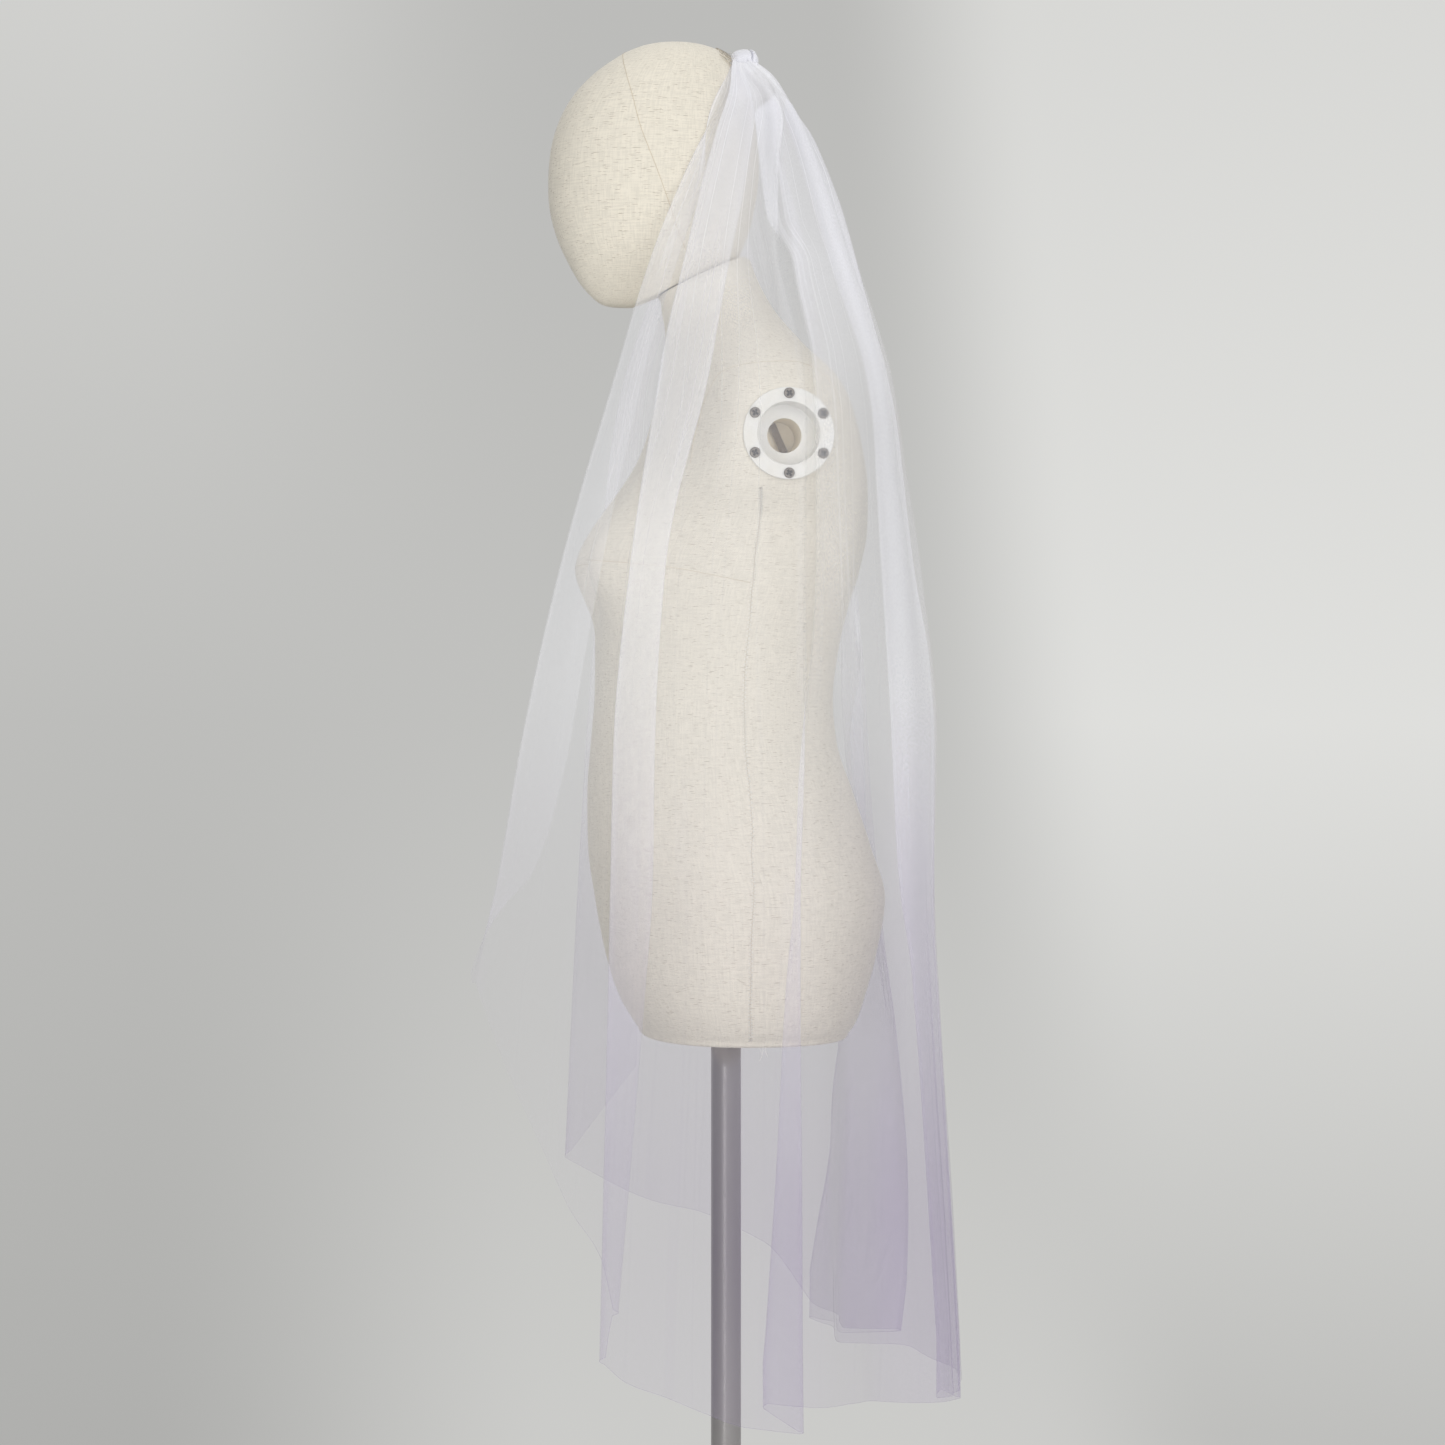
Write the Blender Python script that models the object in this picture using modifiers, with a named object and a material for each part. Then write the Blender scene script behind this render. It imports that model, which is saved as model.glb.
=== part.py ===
"""A one-tier tulle veil, gathered on a comb, over a limbless dress form with a plain egg head.

Run with: blender --background --python part.py
Metres, +Z up. The pole stands on the Z axis, the floor is Z = 0, the form faces -Y
and its left side is +X. "Near" names the form's left half, "far" its right half.
"""

import math

import bmesh
import bpy
import numpy as np
from mathutils import Matrix, Vector

GAP = 0.0003

# Faces round each turned piece
BASE_STEPS = 32
POLE_STEPS = 28
PLATE_STEPS = 20
SCREW_STEPS = 10

# Stand
BASE_RADIUS = 0.185
BASE_THICKNESS = 0.008
BASE_EDGE = 0.003
COLLAR_RADIUS = 0.026
COLLAR_TOP = 0.055
POLE_RADIUS = 0.0135
POLE_FOOT = 0.010

# Torso
TORSO_BOTTOM = 0.811
BUST_HEIGHT = 1.238
BREAST_SIDE = 0.074
BREAST_WIDTH = 0.050
BREAST_RISE = 0.058
BREAST_DEPTH = 0.036
TORSO_RINGS = 26
TORSO_COLUMNS = 32

# Arm sockets
PLATE_FACE = 0.1785
PLATE_Y = 0.028
PLATE_Z = 1.335
PLATE_RADIUS = 0.039
PLATE_THICKNESS = 0.0030
RECESS_RADIUS = 0.0267
RECESS_DEPTH = 0.022
SOCKET_RADIUS = 0.0148
SOCKET_DEPTH = 0.060
CUP_WALL = 0.002
SCREW_CIRCLE = 0.0337
SCREW_HEAD_RADIUS = 0.0045
SCREW_HEAD_HEIGHT = 0.0014
SCREWS = 6
SOCKET_ROD_RADIUS = 0.0036
SOCKET_ROD_LEAN = 24
ARM_BLOCK_HEIGHTS = (1.285, 1.385)
FORM_REACH = 0.25
DRILL_REACH = 0.02

# Neck seat, a plane that rises towards the back
SEAT_FRONT = (-0.062, 1.473)
SEAT_BACK = (0.017, 1.510)
SEAT_SLOPE = (SEAT_BACK[1] - SEAT_FRONT[1]) / (SEAT_BACK[0] - SEAT_FRONT[0])
SEAT_ANGLE = math.atan(SEAT_SLOPE)

# Head
HEAD_TOP = 1.700
HEAD_CHIN = 1.4624
HEAD_HALF_DEPTH = 0.0945
HEAD_HALF_WIDTH = 0.0765
HEAD_FULLNESS = 0.8

# Comb and heading
COMB_LENGTH = 0.070
COMB_Y = 0.0055
COMB_TEETH = 14
TOOTH_WIDTH = 0.0016
TOOTH_LENGTH = 0.014
SPINE_DEPTH = 0.0050
COMB_THICKNESS = 0.0016
HEADING_HALF_LENGTH = 0.0255
HEADING_END_RADIUS = 0.0076
HEADING_RISE = 0.0105
HEADING_FLARE = 0.0026
HEADING_WAVE = 0.0017
HEADING_WAVES = 16
HEADING_WALL = 0.0011
HEADING_LIFT = 0.0012

# Veil
WALL = 0.0011
VEIL_TOP = 1.6785
EVEN_DOWN_TO = 0.965
UPPER_LEVELS = 15
LOWER_LEVELS = 5
LEVEL_SPREAD = 1.5
SIDE_FULLNESS = 0.75
END_SAG = 0.0128
SAG_HEIGHTS = (1.60, 1.6785)
LAYER_HEIGHTS = (0.50, 0.80, 1.50, 1.61, 1.645, VEIL_TOP)
LAYER_PITCHES = (0.0042, 0.0036, 0.0042, 0.0038, 0.0022, 0.0006)
TURN = 0.0024
TURNS_TO_LIE_FLAT = 2.4
TURN_BULGE = 0.25
STRIP_OPENS = (1.02, 1.24)
PLEAT_OPENS = (1.04, 1.28)
GATHERS = 15

# Torso sections: height, front and back of the middle profile, half width and squareness
TORSO_SECTIONS = (
    ("z", "front", "back", "half_width", "power"),
    (0.811, -0.074, 0.103, 0.128, 2.3),
    (0.822, -0.082, 0.112, 0.140, 2.3),
    (0.847, -0.096, 0.121, 0.153, 2.3),
    (0.883, -0.107, 0.131, 0.161, 2.3),
    (0.935, -0.117, 0.1395, 0.164, 2.3),
    (0.980, -0.123, 0.127, 0.156, 2.3),
    (1.028, -0.124, 0.112, 0.142, 2.2),
    (1.075, -0.121, 0.098, 0.127, 2.1),
    (1.112, -0.118, 0.095, 0.121, 2.1),
    (1.150, -0.117, 0.099, 0.124, 2.1),
    (1.190, -0.113, 0.107, 0.132, 2.2),
    (1.225, -0.106, 0.117, 0.140, 2.3),
    (1.262, -0.094, 0.123, 0.151, 2.4),
    (1.300, -0.081, 0.121, 0.176, 2.4),
    (1.335, -0.070, 0.115, 0.187, 2.3),
    (1.370, -0.062, 0.106, 0.180, 2.3),
    (1.400, -0.057, 0.092, 0.152, 2.2),
    (1.420, -0.055, 0.0640, 0.116, 2.1),
    (1.438, -0.054, 0.0405, 0.080, 2.0),
    (1.455, -0.057, 0.0270, 0.061, 2.0),
    (1.475, -0.060, 0.0180, 0.053, 2.0),
)
NECK_TOP_HALF_WIDTH = 0.049

# Head rings by angle from the crown: middle of the ring and how full its sides are
HEAD_SECTIONS = (
    ("angle", "middle", "width_share"),
    (0, -0.0450, 1.00),
    (16, -0.0453, 1.00),
    (30, -0.0472, 1.00),
    (41, -0.0518, 1.00),
    (53, -0.0577, 1.00),
    (64, -0.0615, 1.00),
    (78, -0.0644, 1.00),
    (91, -0.0655, 1.00),
    (108, -0.0672, 0.96),
    (128, -0.0674, 0.88),
    (150, -0.0735, 0.70),
    (180, -0.0950, 0.55),
)

# Veil sections, an oval open at the front: half width, middle, and depth in front of and behind it
VEIL_SECTIONS = (
    ("z", "half_width", "middle", "front_depth", "back_depth"),
    (0.490, 0.224, 0.000, 0.330, 0.208),
    (0.650, 0.215, 0.000, 0.330, 0.200),
    (0.800, 0.208, 0.000, 0.330, 0.190),
    (0.950, 0.203, 0.000, 0.320, 0.182),
    (1.080, 0.200, 0.000, 0.285, 0.181),
    (1.220, 0.202, 0.000, 0.240, 0.167),
    (1.340, 0.205, 0.000, 0.194, 0.148),
    (1.400, 0.182, 0.000, 0.165, 0.140),
    (1.440, 0.150, 0.000, 0.150, 0.131),
    (1.500, 0.110, 0.000, 0.125, 0.114),
    (1.560, 0.089, 0.000, 0.105, 0.095),
    (1.620, 0.078, 0.005, 0.060, 0.066),
    (1.660, 0.0700, 0.010, 0.040, 0.038),
    (1.6785, 0.0460, 0.0060, 0.0095, 0.0135),
)

# Where each edge and fold line lies along the side of the veil, as Y, from the comb to the hem
EDGE_LINES = (
    ("line", "side", "1.69", "1.63", "1.57", "1.50", "1.40", "1.22", "1.08", "0.95", "0.87", "0.56"),
    ("front fold", "near", 0.0024, -0.0075, -0.043, -0.072, -0.110, -0.163, -0.194, -0.217, -0.236, -0.255),
    ("band back", "near", 0.0045, 0.003, 0.004, -0.012, -0.034, -0.079, -0.088, -0.091, -0.097, -0.124),
    ("band front", "near", 0.0080, 0.012, -0.030, -0.050, -0.074, -0.104, -0.118, -0.122, -0.124, -0.132),
    ("strip back", "near", 0.0140, 0.028, 0.033, 0.034, 0.034, 0.034, 0.033, 0.032, 0.032, 0.037),
    ("strip front", "near", 0.0140, 0.028, 0.033, 0.034, 0.034, 0.033, 0.031, 0.027, 0.020, 0.003),
    ("pleat back", "far", 0.0140, 0.028, 0.040, 0.045, 0.050, 0.045, 0.040, 0.036, 0.034, 0.020),
    ("pleat front", "far", 0.0140, 0.028, 0.040, 0.045, 0.050, 0.052, 0.052, 0.052, 0.052, 0.050),
    ("front fold", "far", 0.0025, -0.005, -0.032, -0.050, -0.075, -0.095, -0.106, -0.113, -0.117, -0.130),
)
LINE_HEIGHTS = (1.69, 1.63, 1.57, 1.50, 1.40, 1.22, 1.08, 0.95, 0.87, 0.56)

# Flaps turned in at the two front edges: width of the turned cloth by height, and where
# each lies folded back (0) or open, carrying on past its line (1)
FLAP_HEIGHTS = (1.69, 1.62, 1.40, 1.16, 1.08, 1.02, 0.965, 0.935, 0.88, 0.50)
NEAR_FLAP = (0.0040, 0.012, 0.026, 0.036, 0.037, 0.033, 0.024, 0.012, 0.006, 0.006)
FAR_FLAP = (0.0040, 0.010, 0.022, 0.030, 0.034, 0.036, 0.038, 0.040, 0.044, 0.050)
NEAR_FLAP_OPEN = (1.0, 1.0, 0.0, 0.0, 1.0, 1.0)
FAR_FLAP_OPEN = (0.0, 0.0, 0.0, 0.0, 1.0, 1.0)
FLAP_OPEN_HEIGHTS = (0.50, 0.870, 0.965, 1.56, 1.65, 1.69)

# Half height of the gathers' waves
GATHER_HEIGHTS = (0.5, 0.9, 1.3, 1.45, 1.56, 1.63, 1.67, VEIL_TOP)
GATHER_SIZES = (0.0012, 0.0016, 0.0026, 0.0034, 0.0034, 0.0026, 0.0014, 0.0)

# Cloth that runs plainly where a side fold will begin lower down
SPARE_HEIGHTS = (1.50, 1.69)
SPARE_LENGTHS = (0.014, 0.008)

# Soft folds down the back: angle round the oval at the comb, waist and hem, their half
# width in degrees, and how far the cloth moves in (-) or out (+) at each height
SOFT_FOLDS = (
    ("comb", "waist", "hem", "half_width",
     "1.62", "1.48", "1.40", "1.30", "1.22", "1.10", "0.95", "0.80", "0.55"),
    (200, 196, 190, 17, -0.018, -0.036, -0.030, -0.024, -0.036, -0.052, -0.034, -0.014, 0.000),
    (221, 219, 216, 17, 0.000, 0.000, 0.000, 0.000, -0.004, -0.012, -0.030, -0.052, -0.076),
    (142, 134, 128, 24, 0.000, 0.000, 0.000, -0.002, -0.004, -0.010, -0.016, -0.024, -0.034),
    (160, 164, 163, 13, 0.004, 0.006, 0.006, 0.006, 0.006, 0.006, 0.006, 0.008, 0.012),
    (243, 246, 244, 15, 0.000, 0.002, 0.004, 0.006, 0.008, 0.010, 0.012, 0.016, 0.020),
    (112, 104, 98, 15, 0.000, 0.000, 0.000, 0.000, 0.000, 0.004, 0.006, 0.008, 0.012),
    (176, 178, 180, 10, 0.003, 0.005, 0.004, 0.004, 0.004, 0.004, 0.004, 0.006, 0.008),
)
SOFT_HEIGHTS = (1.62, 1.48, 1.40, 1.30, 1.22, 1.10, 0.95, 0.80, 0.55)

# Columns inside each stretch of the cloth, between its two ends
STRETCH_COLUMNS = {
    "near flap": 2,
    "near front": 9,
    "band": 1,
    "near side": 18,
    "strip": 1,
    "back": 40,
    "pleat": 1,
    "far front": 13,
    "far flap": 2,
}

# How far the cloth moves through the layers along a stretch that may lie folded back
LAYER_SLOPES = {"near flap": 0.5, "band": 0.5, "strip": -0.5, "pleat": 0.5, "far flap": -0.5}

# Hem height along each stretch of the cloth, from its first to its last column
HEM_STRETCHES = {
    "near flap": ((0.0, 0.880), (1.0, 0.872)),
    "near front": ((0.0, 0.872), (0.32, 0.789), (0.52, 0.739), (0.72, 0.685), (0.91, 0.646), (1.0, 0.604)),
    "band": ((0.0, 0.600), (1.0, 0.566)),
    "near side": ((0.0, 0.561), (0.10, 0.547), (0.31, 0.534), (0.48, 0.522), (0.68, 0.510), (1.0, 0.505)),
    "strip": ((0.0, 0.506), (1.0, 0.522)),
    "back": ((0.0, 0.528), (0.16, 0.515), (0.30, 0.505), (0.50, 0.498), (0.75, 0.515), (1.0, 0.590)),
    "pleat": ((0.0, 0.594), (1.0, 0.600)),
    "far front": ((0.0, 0.603), (0.40, 0.620), (0.75, 0.648), (1.0, 0.671)),
    "far flap": ((0.0, 0.680), (1.0, 0.760)),
}

# Colours (linear) and finishes
LINEN = ("linen", (0.74, 0.69, 0.60), 0.85, 0.0)
TULLE = ("tulle", (0.86, 0.85, 0.92), 0.70, 0.0)
WHITE_PLASTIC = ("white_plastic", (0.80, 0.79, 0.75), 0.40, 0.0)
STEEL = ("brushed_steel", (0.42, 0.40, 0.41), 0.32, 1.0)
SCREW_STEEL = ("screw_steel", (0.33, 0.31, 0.28), 0.35, 1.0)
COMB_WIRE = ("comb_metal", (0.36, 0.35, 0.34), 0.35, 1.0)


def column(table, name):
    """One named column of a table whose first row holds the names."""
    return np.array([row[table[0].index(name)] for row in table[1:]], float)


def eased(xs, ys, x):
    """A smooth curve through (xs, ys) that never overshoots its points (monotone cubic)."""
    xs = np.asarray(xs, float)
    ys = np.asarray(ys, float)
    if xs[0] > xs[-1]:
        xs, ys = xs[::-1], ys[::-1]
    step = np.diff(xs)
    slope = np.diff(ys) / step
    inner = np.zeros(len(xs))
    same = slope[:-1] * slope[1:] > 0
    weight_a = 2 * step[1:] + step[:-1]
    weight_b = step[1:] + 2 * step[:-1]
    safe_a = np.where(same, slope[:-1], 1.0)
    safe_b = np.where(same, slope[1:], 1.0)
    mean = (weight_a + weight_b) / (weight_a / safe_a + weight_b / safe_b)
    inner[1:-1] = np.where(same, mean, 0.0)
    inner[0] = slope[0]
    inner[-1] = slope[-1]
    x = np.clip(x, xs[0], xs[-1])
    i = np.clip(np.searchsorted(xs, x, side="right") - 1, 0, len(step) - 1)
    h = step[i]
    t = (x - xs[i]) / h
    return (
        ys[i] * (1 + 2 * t) * (1 - t) ** 2
        + ys[i + 1] * t**2 * (3 - 2 * t)
        + inner[i] * h * t * (1 - t) ** 2
        - inner[i + 1] * h * t**2 * (1 - t)
    )


def smooth_step(low, high, x):
    t = np.clip((x - low) / (high - low), 0, 1)
    return t * t * (3 - 2 * t)


def clear_scene():
    for obj in list(bpy.data.objects):
        bpy.data.objects.remove(obj, do_unlink=True)


def material(finish):
    name, colour, roughness, metallic = finish
    found = bpy.data.materials.get(name)
    if found:
        return found
    made = bpy.data.materials.new(name)
    made.use_nodes = True
    shader = made.node_tree.nodes["Principled BSDF"]
    shader.inputs["Base Color"].default_value = (*colour, 1.0)
    shader.inputs["Roughness"].default_value = roughness
    shader.inputs["Metallic"].default_value = metallic
    return made


def collection(name, hidden=False):
    made = bpy.data.collections.new(name)
    made.hide_render = hidden
    bpy.context.scene.collection.children.link(made)
    return made


def object_of(name, mesh, home, finish=None):
    obj = bpy.data.objects.new(name, mesh)
    home.objects.link(obj)
    if finish:
        mesh.materials.append(material(finish))
        mesh.shade_smooth()
        mesh.set_sharp_from_angle(angle=math.radians(40))
    return obj


def grid_mesh(name, points, closed_ring=False, caps=False):
    """A mesh over a grid of points (rows, columns, 3), its rows closed into rings where asked."""
    rows, columns = points.shape[:2]
    index = np.arange(rows * columns).reshape(rows, columns)
    if closed_ring:
        index = np.hstack([index, index[:, :1]])
    quads = np.stack([index[:-1, :-1], index[:-1, 1:], index[1:, 1:], index[1:, :-1]], -1)
    faces = quads.reshape(-1, 4).tolist()
    if caps:
        faces.append(index[0, :columns][::-1].tolist())
        faces.append(index[-1, :columns].tolist())
    mesh = bpy.data.meshes.new(name)
    mesh.from_pydata(points.reshape(-1, 3).tolist(), [], faces)
    mesh.update()
    return mesh


def outward(mesh):
    """Turns every face of a closed mesh to point out."""
    bm = bmesh.new()
    bm.from_mesh(mesh)
    bmesh.ops.recalc_face_normals(bm, faces=bm.faces)
    bm.to_mesh(mesh)
    bm.free()


def turned(name, profile, steps, home, finish, closed=True):
    """A profile of (radius, height) turned about Z by a Screw modifier."""
    mesh = bpy.data.meshes.new(name)
    edges = [(i, i + 1) for i in range(len(profile) - 1)]
    if closed:
        edges.append((len(profile) - 1, 0))
    mesh.from_pydata([(r, 0, z) for r, z in profile], edges, [])
    obj = object_of(name, mesh, home)
    mesh.materials.append(material(finish))
    screw = obj.modifiers.new("Turn", "SCREW")
    screw.axis = "Z"
    screw.steps = steps
    screw.render_steps = steps
    screw.use_smooth_shade = True
    screw.use_merge_vertices = True
    screw.merge_threshold = 0.00001
    return obj


def cut(obj, cutter, way="DIFFERENCE"):
    boolean = obj.modifiers.new("Cut", "BOOLEAN")
    boolean.operation = way
    boolean.solver = "EXACT"
    boolean.object = cutter


def cutter_object(name, mesh, home):
    obj = object_of(name, mesh, home)
    obj.hide_render = True
    obj.display_type = "WIRE"
    return obj


def cylinder_mesh(name, radius, length, segments):
    mesh = bpy.data.meshes.new(name)
    bm = bmesh.new()
    bmesh.ops.create_cone(
        bm, cap_ends=True, segments=segments, radius1=radius, radius2=radius, depth=length
    )
    bm.to_mesh(mesh)
    bm.free()
    return mesh


# Stand


def make_base(home):
    """A round plate with a turned collar that takes the pole."""
    bore = POLE_RADIUS + GAP
    profile = [
        (0.0, POLE_FOOT - GAP),
        (bore, POLE_FOOT - GAP),
        (bore, COLLAR_TOP),
        (COLLAR_RADIUS - 0.002, COLLAR_TOP),
        (COLLAR_RADIUS, COLLAR_TOP - 0.002),
        (COLLAR_RADIUS, BASE_THICKNESS + 0.004),
        (COLLAR_RADIUS + 0.004, BASE_THICKNESS),
        (BASE_RADIUS - BASE_EDGE, BASE_THICKNESS),
        (BASE_RADIUS, BASE_THICKNESS - BASE_EDGE),
        (BASE_RADIUS, 0.0),
        (0.0, 0.0),
    ]
    return turned("stand_base", profile, BASE_STEPS, home, STEEL, closed=False)


def make_pole(home):
    length = TORSO_BOTTOM - GAP - POLE_FOOT
    tube = cylinder_mesh("stand_pole", POLE_RADIUS, length, POLE_STEPS)
    obj = object_of("stand_pole", tube, home, STEEL)
    obj.location = (0, 0, POLE_FOOT + length / 2)
    return obj


# Form


def torso_points():
    """Rings of the torso: an oval x = a*c^(2/p), y = middle -+ depth*s^(2/p), with two breasts
    added as smooth bumps at the front and the sides cut flat at the arm plates. Above the
    shoulders the rings lean until the last lies in the seat of the head."""
    heights = column(TORSO_SECTIONS, "z")
    rise = np.concatenate(
        [np.linspace(heights[0], heights[1], 3), np.linspace(heights[1], heights[-1], TORSO_RINGS)[1:]]
    )
    z = rise[:, None]
    angle = np.linspace(0, 2 * math.pi, TORSO_COLUMNS, endpoint=False)[None, :]
    front, back, half_width, power = (
        eased(heights, column(TORSO_SECTIONS, name), z) for name in ("front", "back", "half_width", "power")
    )
    across, along = np.cos(angle), np.sin(angle)
    x = half_width * np.sign(across) * np.abs(across) ** (2 / power)
    middle = (front + back) / 2
    y = middle + (back - front) / 2 * np.sign(along) * np.abs(along) ** (2 / power)
    bump = np.exp(-(((np.abs(x) - BREAST_SIDE) / BREAST_WIDTH) ** 2))
    above = np.where(z > BUST_HEIGHT, 1.15, 0.85)
    bump = bump * np.exp(-(((z - BUST_HEIGHT) / (BREAST_RISE * above)) ** 2))
    facing = smooth_step(0.0, 0.8, -along)
    y = y - BREAST_DEPTH * bump * facing
    x = np.clip(x, -PLATE_FACE, PLATE_FACE)
    lean = smooth_step(1.40, 1.475, z) * SEAT_SLOPE
    tilted = z + lean * (y - SEAT_FRONT[0])
    return np.stack(np.broadcast_arrays(x, y, tilted), -1)


def neck_ring():
    """The top ring of the neck, an oval in the seat plane."""
    angle = np.linspace(0, 2 * math.pi, TORSO_COLUMNS, endpoint=False)
    middle = (SEAT_FRONT[0] + SEAT_BACK[0]) / 2
    y = middle + (SEAT_BACK[0] - SEAT_FRONT[0]) / 2 * np.sin(angle)
    z = SEAT_FRONT[1] + SEAT_SLOPE * (y - SEAT_FRONT[0])
    return np.stack([NECK_TOP_HALF_WIDTH * np.cos(angle), y, z - GAP / 2], -1)


def box_mesh(name, low, high):
    mesh = bpy.data.meshes.new(name)
    bm = bmesh.new()
    bmesh.ops.create_cube(bm, size=1.0)
    low, high = Vector(low), Vector(high)
    bmesh.ops.scale(bm, vec=high - low, verts=bm.verts)
    bmesh.ops.translate(bm, vec=(low + high) / 2, verts=bm.verts)
    bm.to_mesh(mesh)
    bm.free()
    return mesh


def arm_block_box(name, side, gap):
    """The space of one arm block: the outer side of the torso at the height of its socket,
    smaller by gap on each seam."""
    inner = PLATE_FACE - SOCKET_DEPTH + gap
    low, high = ARM_BLOCK_HEIGHTS
    xs = sorted((side * inner, side * FORM_REACH))
    return box_mesh(name, (xs[0], -FORM_REACH, low + gap), (xs[1], FORM_REACH, high - gap))


def make_torso(home, cutters):
    """The torso with its neck, and the two blocks in its sides that the arm sockets sit in."""
    points = torso_points()
    points = points[points[:, :, 2].max(axis=1) < SEAT_BACK[1] - 0.002]
    points = np.concatenate([points, neck_ring()[None]])
    mesh = grid_mesh("form_torso", points, closed_ring=True, caps=True)
    outward(mesh)
    torso = object_of("form_torso", mesh, home, LINEN)
    for side in (1, -1):
        word = "left" if side > 0 else "right"
        notch = cutter_object(f"notch_{word}", arm_block_box(f"notch_{word}", side, 0.0), cutters)
        cut(torso, notch)
        name = f"form_arm_block_{word}"
        block = object_of(name, mesh.copy(), home)
        space = cutter_object(f"space_{word}", arm_block_box(f"space_{word}", side, GAP), cutters)
        cut(block, space, "INTERSECT")
        for which, radius, depth in (
            ("pocket", RECESS_RADIUS + CUP_WALL + GAP, RECESS_DEPTH + CUP_WALL + GAP),
            ("socket", SOCKET_RADIUS + GAP, SOCKET_DEPTH + DRILL_REACH),
        ):
            drill_name = f"{which}_{word}"
            drill = cylinder_mesh(drill_name, radius, depth + DRILL_REACH, PLATE_STEPS)
            hole = cutter_object(drill_name, drill, cutters)
            hole.rotation_euler = (0, math.pi / 2, 0)
            hole.location = (side * (PLATE_FACE + (DRILL_REACH - depth) / 2), PLATE_Y, PLATE_Z)
            cut(block, hole)
    return torso


def make_head(home, cutters):
    """An egg from a sphere: each point's ring angle t gives the ring's middle from the table
    and its size as sin(t) to the power HEAD_FULLNESS. The neck's seat is cut off flat."""
    mesh = bpy.data.meshes.new("form_head")
    bm = bmesh.new()
    bmesh.ops.create_uvsphere(bm, u_segments=32, v_segments=20, radius=1.0)
    bm.to_mesh(mesh)
    bm.free()
    points = np.empty(len(mesh.vertices) * 3)
    mesh.vertices.foreach_get("co", points)
    points = points.reshape(-1, 3)
    ring = np.arccos(np.clip(points[:, 2], -1, 1))
    flat = np.maximum(np.hypot(points[:, 0], points[:, 1]), 1e-9)
    size = np.sin(ring) ** HEAD_FULLNESS
    degrees = np.degrees(ring)
    angles = column(HEAD_SECTIONS, "angle")
    middle = eased(angles, column(HEAD_SECTIONS, "middle"), degrees)
    share = eased(angles, column(HEAD_SECTIONS, "width_share"), degrees)
    x = HEAD_HALF_WIDTH * share * size * points[:, 0] / flat
    y = middle + HEAD_HALF_DEPTH * size * points[:, 1] / flat
    z = (HEAD_TOP + HEAD_CHIN) / 2 + (HEAD_TOP - HEAD_CHIN) / 2 * points[:, 2]
    mesh.vertices.foreach_set("co", np.stack([x, y, z], -1).ravel())
    obj = object_of("form_head", mesh, home, LINEN)
    seat_mesh = bpy.data.meshes.new("head_seat")
    bm = bmesh.new()
    bmesh.ops.create_cube(bm, size=0.3)
    bm.to_mesh(seat_mesh)
    bm.free()
    seat = cutter_object("head_seat", seat_mesh, cutters)
    seat.rotation_euler = (SEAT_ANGLE, 0, 0)
    normal = Vector((0, -math.sin(SEAT_ANGLE), math.cos(SEAT_ANGLE)))
    seat.location = Vector((0, SEAT_FRONT[0], SEAT_FRONT[1])) + normal * (GAP - 0.15)
    cut(obj, seat)
    return obj


def make_arm_socket(side, home):
    """The flanged cup, its rim screws and the rod inside, on one side of the form."""
    word = "left" if side > 0 else "right"
    turn = Matrix.Rotation(side * math.pi / 2, 4, "Y")
    place = Matrix.Translation((side * (PLATE_FACE + GAP), PLATE_Y, PLATE_Z)) @ turn
    cup = RECESS_RADIUS + CUP_WALL
    profile = [
        (RECESS_RADIUS, PLATE_THICKNESS - 0.001),
        (RECESS_RADIUS + 0.001, PLATE_THICKNESS),
        (PLATE_RADIUS - 0.001, PLATE_THICKNESS),
        (PLATE_RADIUS, PLATE_THICKNESS - 0.001),
        (PLATE_RADIUS, 0.0),
        (cup, 0.0),
        (cup, -RECESS_DEPTH - CUP_WALL + GAP),
        (SOCKET_RADIUS, -RECESS_DEPTH - CUP_WALL + GAP),
        (SOCKET_RADIUS, -RECESS_DEPTH + GAP),
        (RECESS_RADIUS, -RECESS_DEPTH + GAP),
    ]
    plate = turned(f"arm_plate_{word}", profile, PLATE_STEPS, home, WHITE_PLASTIC)
    plate.matrix_world = place
    for i in range(SCREWS):
        angle = 2 * math.pi * i / SCREWS
        name = f"plate_screw_{word}_{i + 1}"
        height = SCREW_HEAD_HEIGHT
        rim = [
            (0.0, height),
            (SCREW_HEAD_RADIUS * 0.7, height * 0.8),
            (SCREW_HEAD_RADIUS, 0.0),
            (0.0, 0.0),
        ]
        screw = turned(name, rim, SCREW_STEPS, home, SCREW_STEEL, closed=False)
        out = Matrix.Translation(
            (SCREW_CIRCLE * math.cos(angle), SCREW_CIRCLE * math.sin(angle), PLATE_THICKNESS + GAP)
        )
        screw.matrix_world = place @ out
    rod_length = 2 * SOCKET_RADIUS * 0.92
    rod_mesh = cylinder_mesh(f"socket_rod_{word}", SOCKET_ROD_RADIUS, rod_length, SCREW_STEPS)
    rod = object_of(f"socket_rod_{word}", rod_mesh, home, SCREW_STEEL)
    lean = Matrix.Rotation(math.radians(SOCKET_ROD_LEAN), 4, "X")
    rod_side = side * (PLATE_FACE - SOCKET_DEPTH + SOCKET_ROD_RADIUS + GAP)
    deep = Matrix.Translation((rod_side, PLATE_Y, PLATE_Z))
    rod.matrix_world = deep @ lean
    return plate


# Comb and heading


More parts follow.
